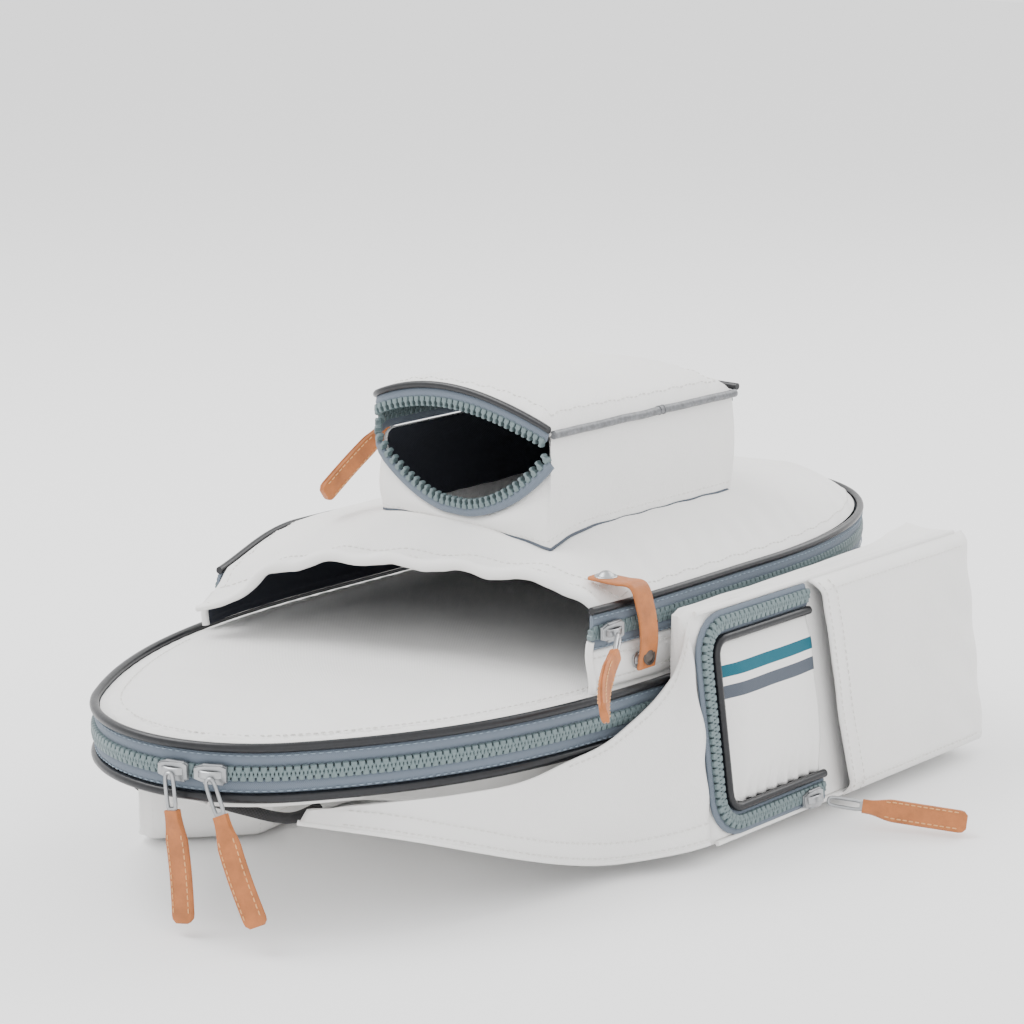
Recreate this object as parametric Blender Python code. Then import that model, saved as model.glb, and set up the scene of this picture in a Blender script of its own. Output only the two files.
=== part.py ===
"""A racket backpack, lying on its back with its shoulder straps folded under it.

Metres, +Z up. The functions below place everything about the bag's own long axis: its top end
(the nose) at Y = 0, its bottom end at Y = LENGTH, and the side pocket at +X. main() then moves
the whole bag by MIDDLE, so that the origin is the middle of its bounding box, on the ground.
"""

import math

import bmesh
import bpy
from mathutils import Matrix, Vector

# Middle of the bounding box, seen from above
MIDDLE = (0.0485, 0.2389, 0.0)

# Plan outline of the bag
LENGTH = 0.485
HEAD_HALF = 0.120
HEAD_Y = 0.300
HEAD_POWER = 2.3
NOSE_RADIUS = 0.080
NOSE_SWEEP = math.radians(53.0)

# Gap that separate pieces keep, and the usual sheet thickness
GAP = 0.0003
SHEET = 0.0025

# Main compartment: straps, back panel, shell and the zipper that closes it
STRAP_THICK = 0.008
STRAP_WIDTH = 0.064
STRAP_LEFT_X = -0.040
STRAP_RIGHT_X = 0.046
STRAP_FOLD = Vector((-0.0515, 0.0870, 0.0))
STRAP_TURN = 47.5
PANEL_THICK = 0.009
SHELL_FLOOR = 0.0185
SHELL_TOP = 0.0590
MAIN_SPLIT = 0.0730
TOOTH_HALF = 0.0032
TAPE_HIGH = 0.0058
MAIN_PIPING = 0.0022
ZIP_END_Y = 0.430

# Front panel and the racket pocket on it
FRONT_TOP = 0.0858
GUSSET_LOW = 0.0868
RACKET_SPLIT = 0.1150
RACKET_INSET = 0.0050
COVER_PIPING = 0.0019
COVER_EDGE = 0.1262
COVER_CROWN = 0.0220
MOUTH_Y = 0.160
MOUTH_SKEW = 0.034
GUSSET_RIGHT_Y = 0.176
GUSSET_LEFT_Y = 0.142

# Ball pouch on the cover
POUCH_X = (-0.054, 0.064)
POUCH_Y = (0.206, 0.350)
POUCH_TOP = 0.1835
POUCH_SPLIT = 0.1905
POUCH_ZIP_HALF = 0.0065
POUCH_CORNER = 0.014
POUCH_DENT = 0.0100
LID_CROWN = 0.0135

# Side pocket, whose outer face leans out towards the ground
SIDE_INNER_X = 0.1235
SIDE_TOP_X = 0.1340
SIDE_LOW_X = 0.1500
SIDE_Y = (0.222, 0.454)
SIDE_Z = (0.0060, 0.1185)
FLAP_END = 0.312
FLAP_CORNER = 0.020

# Sliders and pulls
SLIDER = (0.0150, 0.0095, 0.0040)
PULLER = (0.0060, 0.0022, 0.0200)
LEATHER = (0.0110, 0.0046, 0.0480)


def clear_scene():
    for obj in list(bpy.data.objects):
        bpy.data.objects.remove(obj, do_unlink=True)


def material(name, colour, roughness, metallic=0.0):
    made = bpy.data.materials.new(name)
    made.use_nodes = True
    shader = made.node_tree.nodes["Principled BSDF"]
    shader.inputs["Base Color"].default_value = (*colour, 1.0)
    shader.inputs["Roughness"].default_value = roughness
    shader.inputs["Metallic"].default_value = metallic
    made.diffuse_color = (*colour, 1.0)
    return made


def make_object(name, mesh, look, origin=(0.0, 0.0, 0.0)):
    """Puts a mesh given in world coordinates into the scene, with its own origin."""
    mesh.transform(Matrix.Translation(-Vector(origin)))
    mesh.materials.append(look)
    obj = bpy.data.objects.new(name, mesh)
    obj.location = origin
    bpy.context.scene.collection.objects.link(obj)
    return obj


def mesh_of(name, points, faces):
    bm = bmesh.new()
    verts = [bm.verts.new(point) for point in points]
    for face in faces:
        bm.faces.new([verts[i] for i in face])
    bmesh.ops.recalc_face_normals(bm, faces=bm.faces)
    mesh = bpy.data.meshes.new(name)
    bm.to_mesh(mesh)
    bm.free()
    return mesh


def smooth(obj, angle=35.0):
    obj.data.shade_smooth()
    obj.data.set_sharp_from_angle(angle=math.radians(angle))
    return obj


# ---------------------------------------------------------------- outlines


def smoothstep(low, high, value):
    t = min(max((value - low) / (high - low), 0.0), 1.0)
    return t * t * (3.0 - 2.0 * t)


def half_width(y):
    """Half width of the bag at y: a round nose, a flank that flares, and a squarish far end."""
    nose_end = NOSE_RADIUS * (1.0 - math.cos(NOSE_SWEEP))
    if y <= nose_end:
        return math.sqrt(max(NOSE_RADIUS**2 - (NOSE_RADIUS - y) ** 2, 0.0))
    if y <= HEAD_Y:
        span = HEAD_Y - nose_end
        t = (y - nose_end) / span
        start = NOSE_RADIUS * math.sin(NOSE_SWEEP)
        slope = span / math.tan(NOSE_SWEEP)
        return (
            (1 - 3 * t**2 + 2 * t**3) * start
            + (t - 2 * t**2 + t**3) * slope
            + (3 * t**2 - 2 * t**3) * HEAD_HALF
        )
    u = min((y - HEAD_Y) / (LENGTH - HEAD_Y), 1.0)
    return HEAD_HALF * (1.0 - u**HEAD_POWER) ** (1.0 / HEAD_POWER)


def inset_width(y, inset):
    """Half width at y of the outline drawn inwards by an inset."""
    if y > HEAD_Y:
        u = min((y - HEAD_Y) / (LENGTH - inset - HEAD_Y), 1.0)
        return (HEAD_HALF - inset) * (1.0 - u**HEAD_POWER) ** (1.0 / HEAD_POWER)
    radius = NOSE_RADIUS - inset
    if y < NOSE_RADIUS - radius * math.cos(NOSE_SWEEP):
        return math.sqrt(max(radius**2 - (NOSE_RADIUS - y) ** 2, 0.0))
    step = 1e-4
    slope = (half_width(y + step) - half_width(y - step)) / (2 * step)
    return half_width(y) - inset * math.hypot(1.0, slope)


def nose_side(y_end, arc_steps=7, side_steps=12):
    """Right-hand half of the outline, from the nose tip to y_end."""
    points = []
    for i in range(arc_steps + 1):
        angle = NOSE_SWEEP * i / arc_steps
        points.append((NOSE_RADIUS * math.sin(angle), NOSE_RADIUS * (1 - math.cos(angle))))
    start = points[-1][1]
    for i in range(1, side_steps + 1):
        y = start + (y_end - start) * i / side_steps
        points.append((half_width(y), y))
    return points


def head_side(y_start, side_steps=6, end_steps=9):
    """Right-hand half of the outline, from y_start to the middle of the far end."""
    points = []
    for i in range(side_steps):
        y = y_start + (HEAD_Y - y_start) * i / side_steps
        points.append((half_width(y), y))
    for i in range(end_steps + 1):
        angle = 0.5 * math.pi * i / end_steps
        x = HEAD_HALF * max(math.cos(angle), 0.0) ** (2.0 / HEAD_POWER)
        y = HEAD_Y + (LENGTH - HEAD_Y) * math.sin(angle) ** (2.0 / HEAD_POWER)
        points.append((x, y))
    return points


def mirrored(points):
    return [(-x, y) for x, y in points]


def round_nose_path(y_end):
    """From the left flank at y_end, round the nose, to the right flank at y_end."""
    right = nose_side(y_end)
    return mirrored(right[:0:-1]) + right


def round_head_path(y_right, y_left):
    """From the right flank at y_right, round the far end, to the left flank at y_left."""
    right = head_side(y_right)
    left = mirrored(head_side(y_left))
    return right + left[-2::-1]


def normals_of(path, closed=False):
    count = len(path)
    found = []
    for i in range(count):
        before = path[(i - 1) % count] if closed or i > 0 else path[i]
        after = path[(i + 1) % count] if closed or i < count - 1 else path[i]
        dx, dy = after[0] - before[0], after[1] - before[1]
        size = math.hypot(dx, dy)
        found.append((dy / size, -dx / size))
    return found


def shifted(path, distance, closed=False):
    """The path moved sideways, to its right as it runs."""
    return [
        (x + nx * distance, y + ny * distance)
        for (x, y), (nx, ny) in zip(path, normals_of(path, closed))
    ]


# ---------------------------------------------------------------- solid builders


def strip(name, path, inner, outer, low, high, look, closed=False, origin=(0, 0, 0)):
    """A wall that follows a plan path. low and high are heights, or functions of (x, y)."""
    near = shifted(path, inner, closed)
    far = shifted(path, outer, closed)
    points = []
    for (x0, y0), (x1, y1), (x, y) in zip(near, far, path):
        bottom = low(x, y) if callable(low) else low
        top = high(x, y) if callable(high) else high
        points += [(x0, y0, bottom), (x1, y1, bottom), (x1, y1, top), (x0, y0, top)]
    count = len(path)
    faces = []
    for i in range(count if closed else count - 1):
        a, b = 4 * i, 4 * ((i + 1) % count)
        for j in range(4):
            k = (j + 1) % 4
            faces.append((a + j, a + k, b + k, b + j))
    if not closed:
        faces += [(3, 2, 1, 0), tuple(4 * (count - 1) + j for j in range(4))]
    return make_object(name, mesh_of(name, points, faces), look, origin)


def tube(name, points, radius, look, closed=False, origin=(0, 0, 0), resolution=1):
    curve = bpy.data.curves.new(name, "CURVE")
    curve.dimensions = "3D"
    curve.bevel_depth = radius
    curve.bevel_resolution = resolution
    curve.use_fill_caps = True
    curve.materials.append(look)
    spline = curve.splines.new("POLY")
    spline.points.add(len(points) - 1)
    spline.use_cyclic_u = closed
    for slot, point in zip(spline.points, points):
        slot.co = (*(Vector(point) - Vector(origin)), 1.0)
    obj = bpy.data.objects.new(name, curve)
    obj.location = origin
    bpy.context.scene.collection.objects.link(obj)
    return obj


def grid_mesh(name, top, bottom, columns, rows):
    """A closed sheet between two surfaces, each a function of a column and a row number."""
    points = []
    for surface in (top, bottom):
        for j in range(rows + 1):
            for i in range(columns + 1):
                points.append(surface(i / columns, j / rows))
    wide, layer = columns + 1, (columns + 1) * (rows + 1)
    faces = []
    for j in range(rows):
        for i in range(columns):
            a = j * wide + i
            faces.append((a, a + 1, a + 1 + wide, a + wide))
            faces.append((layer + a + wide, layer + a + 1 + wide, layer + a + 1, layer + a))
    rim = [i for i in range(columns)]
    rim += [j * wide + columns for j in range(rows)]
    rim += [rows * wide + columns - i for i in range(columns)]
    rim += [(rows - j) * wide for j in range(rows)]
    for a, b in zip(rim, rim[1:] + rim[:1]):
        faces.append((b, a, layer + a, layer + b))
    return mesh_of(name, points, faces)


def ribbon(name, points, turns, width, thick, look, origin=(0, 0, 0)):
    """A flat strap: points along its middle, and the angle of its width from X at each, in plan."""
    middle = [Vector(point) for point in points]
    verts = []
    for i, (point, turn) in enumerate(zip(middle, turns)):
        along = middle[min(i + 1, len(middle) - 1)] - middle[max(i - 1, 0)]
        across = Vector((math.cos(math.radians(turn)), math.sin(math.radians(turn)), 0.0))
        out = along.cross(across).normalized()
        for side, level in ((-1, -1), (1, -1), (1, 1), (-1, 1)):
            verts.append(point + across * (side * width / 2) + out * (level * thick / 2))
    faces = []
    for i in range(len(middle) - 1):
        a, b = 4 * i, 4 * (i + 1)
        for j in range(4):
            k = (j + 1) % 4
            faces.append((a + j, a + k, b + k, b + j))
    faces += [(3, 2, 1, 0), tuple(4 * (len(middle) - 1) + j for j in range(4))]
    return make_object(name, mesh_of(name, verts, faces), look, origin)


def block(name, size, place, look, origin, bevel=0.0008):
    """A box with bevelled edges, set by a matrix that turns it and puts it in place."""
    bm = bmesh.new()
    bmesh.ops.create_cube(bm, size=1.0)
    bmesh.ops.scale(bm, vec=size, verts=bm.verts)
    bmesh.ops.bevel(bm, geom=bm.edges, offset=bevel, segments=1, affect="EDGES")
    bmesh.ops.transform(bm, matrix=place, verts=bm.verts)
    mesh = bpy.data.meshes.new(name)
    bm.to_mesh(mesh)
    bm.free()
    return make_object(name, mesh, look, origin)


def disc(name, radius, thick, place, look, origin, sides=16):
    bm = bmesh.new()
    bmesh.ops.create_cone(
        bm, cap_ends=True, segments=sides, radius1=radius, radius2=radius * 0.8, depth=thick
    )
    bmesh.ops.transform(bm, matrix=place, verts=bm.verts)
    mesh = bpy.data.meshes.new(name)
    bm.to_mesh(mesh)
    bm.free()
    return smooth(make_object(name, mesh, look, origin))


def cut(obj, cutter_mesh):
    """Takes the cutter mesh away from the object."""
    cutter = bpy.data.objects.new(obj.name + "_cutter", cutter_mesh)
    cutter.hide_render = True
    cutter.display_type = "WIRE"
    bpy.context.scene.collection.objects.link(cutter)
    boolean = obj.modifiers.new("Cut", "BOOLEAN")
    boolean.operation = "DIFFERENCE"
    boolean.solver = "EXACT"
    boolean.object = cutter


def frame_matrix(origin, along, up):
    """A matrix whose X runs along, whose Z is as near up as it can be, put at origin."""
    x = Vector(along).normalized()
    y = Vector(up).cross(x).normalized()
    z = x.cross(y)
    turn = Matrix((x, y, z)).transposed().to_4x4()
    return Matrix.Translation(origin) @ turn


# ---------------------------------------------------------------- main compartment


def shell_half_width(y):
    """Narrower than the zipper at the nose, wide enough to meet the side pocket further on."""
    return inset_width(y, 0.0045) + 0.0072 * smoothstep(0.16, 0.235, y)


def shell_floor(y):
    """Underside of the main compartment, which rises towards the nose."""
    return SHELL_FLOOR + (SHELL_TOP - 0.004 - SHELL_FLOOR) * (1.0 - smoothstep(0.05, 0.20, y))


def shell_row(t, start, end):
    """Rows crowd together at both ends, where the outline turns."""
    return start + (end - start) * 0.5 * (1.0 - math.cos(math.pi * t))


def shell_surface(start, end, inset, height):
    def surface(s, t):
        y = shell_row(t, start, end)
        side = 2.0 * s - 1.0
        width = max(shell_half_width(y) - inset, 0.002)
        tuck = 1.0 - 0.05 * (height is None)
        z = shell_floor(y) if height is None else height
        return (side * width * tuck, y, z)

    return surface


def build_shell(look):
    start, end = 0.012, LENGTH - 0.002
    mesh = grid_mesh(
        "back_shell",
        shell_surface(start, end, 0.0, SHELL_TOP),
        shell_surface(start, end, 0.0, None),
        10,
        20,
    )
    shell = make_object("back_shell", mesh, look)
    wall = 0.003

    def hollow_floor(s, t):
        x, y, z = shell_surface(0.060, LENGTH - 0.008, wall, None)(s, t)
        return (x, y, z + wall)

    hollow = grid_mesh(
        "shell_hollow",
        shell_surface(0.060, LENGTH - 0.008, wall, SHELL_TOP + 0.01),
        hollow_floor,
        8,
        14,
    )
    cut(shell, hollow)
    return shell


def build_back_panel(look):
    """Padded panel that lies against the back, above the folded straps."""
    low = STRAP_THICK + 2 * GAP

    def plan(s, t, z, grow):
        y = 0.205 + 0.245 * t
        bulge = 1.0 - abs(2.0 * t - 1.0) ** 4 * 0.18
        return ((2.0 * s - 1.0) * (0.088 - grow) * bulge, y, z)

    mesh = grid_mesh(
        "back_panel",
        lambda s, t: plan(s, t, low + PANEL_THICK, 0.0),
        lambda s, t: plan(s, t, low, 0.003),
        6,
        8,
    )
    return make_object("back_panel", mesh, look)


def left_strap_route():
    """Points and turns of the strap that hangs under the nose and folds back on the ground."""
    lay = STRAP_THICK / 2
    turn = math.radians(STRAP_TURN)
    forward = Vector((math.sin(turn), -math.cos(turn), 0.0))
    hanging = [
        (-0.0050, 0.0375),
        (0.0030, 0.0330),
        (0.0065, 0.0250),
        (0.0065, 0.0165),
        (0.0010, 0.0085),
        (-0.0080, lay + 0.0004),
    ]
    points = [STRAP_FOLD + forward * reach + Vector((0, 0, z)) for reach, z in hanging]
    lying = [
        (-0.0640, 0.112, 34.0),
        (-0.0680, 0.138, 20.0),
        (-0.0670, 0.166, 8.0),
        (-0.0610, 0.200, 0.0),
        (-0.0490, 0.270, 0.0),
        (STRAP_LEFT_X, 0.345, 0.0),
    ]
    points += [Vector((x, y, lay)) for x, y, _ in lying]
    return points, [STRAP_TURN] * len(hanging) + [angle for _, _, angle in lying]


def right_strap_route():
    """Points and turns of the strap that lies straight back from where it is sewn on."""
    lay = STRAP_THICK / 2
    profile = [
        (0.158, 0.0170),
        (0.169, 0.0155),
        (0.178, 0.0118),
        (0.187, 0.0073),
        (0.198, lay + 0.0001),
        (0.210, lay),
        (0.345, lay),
    ]
    return [Vector((STRAP_RIGHT_X, y, z)) for y, z in profile], [0.0] * len(profile)


def build_straps(pad_look, web_look, buckle_look):
    """Padded shoulder straps, each with a buckle and webbing at its low end."""
    routes = (
        ("left", STRAP_LEFT_X, left_strap_route()),
        ("right", STRAP_RIGHT_X, right_strap_route()),
    )
    for side, x, (points, turns) in routes:
        ribbon("shoulder_strap_" + side, points, turns, STRAP_WIDTH, STRAP_THICK, pad_look)
        buckle = Matrix.Translation((x, 0.3600, 0.0040))
        block("strap_adjuster_" + side, (0.034, 0.024, 0.007), buckle, buckle_look, (0, 0, 0))
        web = [(x, 0.3730, 0.0040), (x * 1.2, 0.400, 0.0040), (x * 1.6, 0.440, 0.0040)]
        ribbon("strap_webbing_" + side, web, (0.0, 0.0, 0.0), 0.025, 0.002, web_look)


def build_haul_loop(look):
    route = [
        (-0.0840, 0.084, 0.0160),
        (-0.0815, 0.068, 0.0290),
        (-0.0755, 0.050, 0.0420),
        (-0.056, 0.036, 0.0490),
        (-0.020, 0.026, 0.0515),
        (0.020, 0.026, 0.0515),
        (0.036, 0.030, 0.0500),
        (0.044, 0.040, 0.0460),
        (0.045, 0.052, 0.0430),
        (0.045, 0.066, 0.0440),
    ]
    return tube("haul_loop", route, 0.0028, look, resolution=1)


def build_main_zipper(tape, teeth, piping, body_side):
    """One side of the main zipper: the lower one on the shell or the upper one on the front."""
    path = round_nose_path(ZIP_END_Y)
    sign = -1.0 if body_side == "lower" else 1.0
    near = MAIN_SPLIT + sign * 0.0002
    edge = MAIN_SPLIT + sign * TOOTH_HALF
    tape_near = edge + sign * GAP
    tape_far = tape_near + sign * TAPE_HIGH
    cord = tape_far + sign * (MAIN_PIPING + GAP)
    strip(
        "main_teeth_" + body_side, path, -0.0022, 0.0008, min(near, edge), max(near, edge), teeth
    )
    low, high = min(tape_near, tape_far), max(tape_near, tape_far)
    strip("main_tape_" + body_side, path, -0.0020, 0.0, low, high, tape)
    tube("main_piping_" + body_side, [(x, y, cord) for x, y in path], MAIN_PIPING, piping)


def build_hinge_gusset(look):
    """Fabric at the far end that joins the shell to the front where the zipper stops."""
    path = round_head_path(ZIP_END_Y + 0.004, ZIP_END_Y + 0.004)
    path = [point for point in path if point[1] >= ZIP_END_Y + 0.003]
    strip("hinge_gusset", path, -0.0025, 0.0, SHELL_TOP + GAP, MAIN_SPLIT - GAP, look)


# ---------------------------------------------------------------- front panel and racket pocket


def build_front_panel(look):
    start, end = 0.0045, LENGTH - 0.0040

    def plan(s, t):
        y = shell_row(t, start, end)
        return (2.0 * s - 1.0) * max(inset_width(y, 0.0033), 0.004), y

    def top(s, t):
        x, y = plan(s, t)
        crown = 0.0015 * (1.0 - (2.0 * s - 1.0) ** 2) * (1.0 - smoothstep(0.40, 0.46, y))
        return (x, y, FRONT_TOP + crown)

    def bottom(s, t):
        x, y = plan(s, t)
        return (x, y, MAIN_SPLIT + 0.0005)

    return make_object("front_panel", grid_mesh("front_panel", top, bottom, 8, 22), look)


def build_racket_pocket_edge(gusset_look, tape, teeth):
    """Gusset and lower zipper side, which stay on the front panel."""
    path = round_head_path(GUSSET_RIGHT_Y, GUSSET_LEFT_Y)
    middle = -RACKET_INSET
    tooth_low = RACKET_SPLIT - TOOTH_HALF
    tape_low = tooth_low - GAP - 0.0048
    strip(
        "pocket_gusset",
        path,
        middle - 0.0013,
        middle + 0.0012,
        GUSSET_LOW,
        tape_low - GAP,
        gusset_look,
    )
    strip("racket_tape_lower", path, middle - 0.001, middle + 0.001, tape_low, tooth_low - GAP, tape)
    strip(
        "racket_teeth_lower",
        path,
        middle - 0.0013,
        middle + 0.0018,
        tooth_low,
        RACKET_SPLIT - 0.0002,
        teeth,
    )


def mouth_y(side):
    """Where the pocket's mouth is, from its left end to its right end."""
    return MOUTH_Y + MOUTH_SKEW * side


def cover_height(x, y):
    """Top of the cover: domed, lower at the mouth, and hanging a little at the mouth's left end."""
    half = max(inset_width(y, 0.0080), 0.01)
    side = min(max(x / half, -1.0), 1.0)
    dome = 1.0 - abs(side) ** 3.0
    rise = COVER_CROWN * (0.42 + 0.58 * smoothstep(0.0, 0.060, y - mouth_y(side)))
    far = 1.0 - smoothstep(LENGTH - 0.090, LENGTH, y) * 0.75
    lean = 0.0030 * side * (1.0 - side * side) * 2.0
    droop = smoothstep(0.55, 1.0, -side) * (1.0 - smoothstep(0.0, 0.018, y - mouth_y(side)))
    return COVER_EDGE + (rise * dome + lean) * far - 0.018 * droop - POUCH_DENT * pouch_floor(x, y)


def pouch_floor(x, y):
    """1 on the flat patch of the cover that a ball in the pouch rests on, and 0 at the walls."""
    inside = 1.0
    for value, (start, end) in ((x, POUCH_X), (y, POUCH_Y)):
        reach = abs(value - (start + end) / 2) / ((end - start) / 2)
        inside *= 1.0 - smoothstep(0.60, 0.95, reach)
    return inside


def cover_plan(s, t):
    side = 2.0 * s - 1.0
    start = mouth_y(side)
    end = LENGTH - 0.0086
    y = start + (end - start) * math.sin(0.5 * math.pi * t)
    return side * max(inset_width(y, 0.0080), 0.010), y


def build_cover(look, hem_look, origin):
    def top(s, t):
        x, y = cover_plan(s, t)
        return (x, y, cover_height(x, y))

    def bottom(s, t):
        x, y, z = top(s, t)
        return (x, y, z - SHEET)

    smooth(make_object("racket_cover", grid_mesh("racket_cover", top, bottom, 16, 18), look, origin))
    edge = []
    for i in range(21):
        side = -0.985 + 1.97 * i / 20
        x, y = cover_plan((side + 1.0) / 2.0, 0.0)
        edge.append((x, y - 0.0034, cover_height(x, y) - SHEET / 2))
    tube("mouth_hem", edge, 0.0028, hem_look, origin=origin)


def build_cover_zipper(tape, teeth, piping, origin):
    path = round_head_path(GUSSET_RIGHT_Y, GUSSET_LEFT_Y)
    middle = -RACKET_INSET
    tooth_high = RACKET_SPLIT + TOOTH_HALF
    strip(
        "racket_teeth_upper",
        path,
        middle - 0.0013,
        middle + 0.0018,
        RACKET_SPLIT + 0.0002,
        tooth_high,
        teeth,
        origin=origin,
    )
    strip(
        "racket_tape_upper",
        path,
        middle - 0.001,
        middle + 0.001,
        tooth_high + GAP,
        tooth_high + GAP + 0.0048,
        tape,
        origin=origin,
    )
    height = tooth_high + GAP + 0.0048 + GAP + COVER_PIPING
    route = [(x, y, height) for x, y in shifted(path, middle)]
    tube("cover_piping", route, COVER_PIPING, piping, origin=origin)


# ---------------------------------------------------------------- ball pouch


def pouch_path(step=0.018):
    """Round the pouch: from the right near corner, along the near end, left side and far end."""
    (x0, x1), (y0, y1) = POUCH_X, POUCH_Y
    corners = [(x1, y0, 0), (x0, y0, 1), (x0, y1, 1), (x1, y1, 0)]
    path = []
    for i, (x, y, rounded) in enumerate(corners):
        if not rounded:
            path.append((x, y))
            continue
        bx, by, _ = corners[i - 1]
        ax, ay, _ = corners[i + 1]
        before = Vector((bx - x, by - y)).normalized() * POUCH_CORNER
        after = Vector((ax - x, ay - y)).normalized() * POUCH_CORNER
        for k in range(4):
            t = k / 3
            point = Vector((x, y)) + before * (1 - t) ** 2 + after * t**2
            path.append((point.x, point.y))
    full = [path[0]]
    for a, b in zip(path, path[1:]):
        count = max(1, round(math.dist(a, b) / step))
        for k in range(1, count + 1):
            full.append((a[0] + (b[0] - a[0]) * k / count, a[1] + (b[1] - a[1]) * k / count))
    return full


def pouch_mouth(x, y):
    """1 in the middle of the near end, where the zipper is open, and 0 away from it."""
    across = (x - POUCH_X[0]) / (POUCH_X[1] - POUCH_X[0])
    hump = math.sin(math.pi * min(max(across, 0.0), 1.0)) ** 0.8
    return hump * (1.0 - smoothstep(0.002, 0.030, y - POUCH_Y[0]))


def build_pouch_walls(look, origin):
    open_side = pouch_path()
    near, far = open_side[0], open_side[-1]
    right = [(far[0], far[1] + (near[1] - far[1]) * k / 6) for k in range(1, 6)]
    path = open_side + right

    def low(x, y):
        return cover_height(x, y) + 0.0008

    def high(x, y):
        hinge_side = smoothstep(POUCH_X[1] - 0.012, POUCH_X[1], x)
        rise = (POUCH_SPLIT + 0.0055 - POUCH_TOP) * hinge_side
        return POUCH_TOP + rise - 0.020 * pouch_mouth(x, y)

    strip("pouch_walls", path, 0.0, SHEET, low, high, look, closed=True, origin=origin)


def build_pouch_zip_lower(tape, origin):
    path = [point for point in pouch_path() if point[0] < POUCH_X[1] - 0.013]

    def low(x, y):
        return POUCH_TOP + GAP - 0.020 * pouch_mouth(x, y)

    def high(x, y):
        return POUCH_SPLIT - 0.0002 - 0.020 * pouch_mouth(x, y)

    strip("pouch_zip_lower", path, 0.0002, 0.0022, low, high, tape, origin=origin)


def lid_base(x, y):
    return POUCH_SPLIT + POUCH_ZIP_HALF + 2 * GAP + 0.006 * pouch_mouth(x, y)


def build_lid(look, tape, piping, origin):
    path = [point for point in pouch_path() if point[0] < POUCH_X[1] - 0.013]

    def zip_low(x, y):
        return POUCH_SPLIT + 0.0002 + 0.006 * pouch_mouth(x, y)

    def zip_high(x, y):
        return lid_base(x, y) - GAP

    strip("pouch_zip_upper", path, 0.0002, 0.0022, zip_low, zip_high, tape, origin=origin)
    (x0, x1), (y0, y1) = POUCH_X, POUCH_Y

    def plan(s, t):
        y = shell_row(t, y0, y1)
        reach = max(1.0 - min(y - y0, y1 - y) / POUCH_CORNER, 0.0)
        left = x0 + POUCH_CORNER * (1.0 - math.sqrt(1.0 - reach**2)) + 0.0002
        return left + (x1 - 0.0005 - left) * s, y

    def top(s, t):
        x, y = plan(s, t)
        dome = (1 - abs(2 * s - 1) ** 2.5) * (1 - 0.55 * abs(2 * t - 1) ** 3)
        return (x, y, lid_base(x, y) + SHEET + LID_CROWN * dome)

    def bottom(s, t):
        x, y, z = top(s, t)
        return (x, y, z - SHEET)

    smooth(make_object("pouch_lid", grid_mesh("pouch_lid", top, bottom, 10, 12), look, origin))
    rim = [(x, y, lid_base(x, y) + 0.0016) for x, y in shifted(pouch_path(0.03), -0.0024)]
    tube("lid_piping", rim, 0.0018, piping, origin=origin)


# ---------------------------------------------------------------- side pocket


def face_x(z):
    """How far out the side pocket's leaning face is at a height."""
    t = (z - SIDE_Z[0]) / (SIDE_Z[1] - SIDE_Z[0])
    return SIDE_LOW_X + (SIDE_TOP_X - SIDE_LOW_X) * t


def pocket_inner(y):
    """The pocket's inner wall follows the outline and leaves room for the front to swing up."""
    room = 0.0035 + 0.0090 * smoothstep(0.34, 0.42, y) + 0.0115 * smoothstep(0.415, 0.454, y)
    return min(SIDE_INNER_X, half_width(y) + room)


def pocket_prism(name, y_range, z_range, inner_inset, outer_inset, look=None, steps=8):
    """A block between the bag's side and the leaning face."""
    low, high = z_range
    points = []
    for i in range(steps + 1):
        y = y_range[0] + (y_range[1] - y_range[0]) * i / steps
        inner = pocket_inner(y) + inner_inset
        outer_low, outer_high = face_x(low) - outer_inset, face_x(high) - outer_inset
        points += [(inner, y, low), (outer_low, y, low), (outer_high, y, high), (inner, y, high)]
    faces = []
    for i in range(steps):
        a, b = 4 * i, 4 * (i + 1)
        for j in range(4):
            k = (j + 1) % 4
            faces.append((a + j, a + k, b + k, b + j))
    faces += [(3, 2, 1, 0), tuple(4 * steps + j for j in range(4))]
    mesh = mesh_of(name, points, faces)
    return make_object(name, mesh, look) if look else mesh


def build_side_pocket(look):
    """A hollow box that is open on its outer face, behind the zipped flap."""
    pocket = pocket_prism("side_pocket", SIDE_Y, SIDE_Z, 0.0, 0.0, look)
    wall = 0.0022
    deep = pocket_prism(
        "pocket_hollow",
        (SIDE_Y[0] + wall, SIDE_Y[1] - wall),
        (SIDE_Z[0] + wall, SIDE_Z[1] - wall),
        wall,
        wall,
    )
    cut(pocket, deep)
    door = pocket_prism(
        "pocket_door",
        (SIDE_Y[0] + 0.010, FLAP_END - 0.004),
        (SIDE_Z[0] + 0.010, SIDE_Z[1] - 0.010),
        2 * wall,
        -0.010,
        steps=1,
    )
    cut(pocket, door)


def face_point(y, z, out):
    """A point at a distance in front of the side pocket's face."""
    lean = math.atan2(SIDE_LOW_X - SIDE_TOP_X, SIDE_Z[1] - SIDE_Z[0])
    return (face_x(z) + out * math.cos(lean), y, z + out * math.sin(lean))


def flap_path(inset, low_end=FLAP_END, steps=5):
    """Round the flap's free edges: from the top end, round both corners, to the bottom end."""
    near, end = SIDE_Y[0] + 0.002 + inset, FLAP_END
    low, high = SIDE_Z[0] + 0.004 + inset, SIDE_Z[1] - 0.003 - inset
    corner = FLAP_CORNER - inset
    path = [(end, high), ((end + near) / 2 + 0.006, high)]
    for centre_z, first, last in ((high - corner, 0.0, 90.0), (low + corner, 90.0, 180.0)):
        for k in range(steps + 1):
            angle = math.radians(first + (last - first) * k / steps)
            path.append(
                (near + corner - corner * math.sin(angle), centre_z + corner * math.cos(angle))
            )
    path += [((low_end + near) / 2 + 0.006, low), (low_end, low)]
    return path


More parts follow.
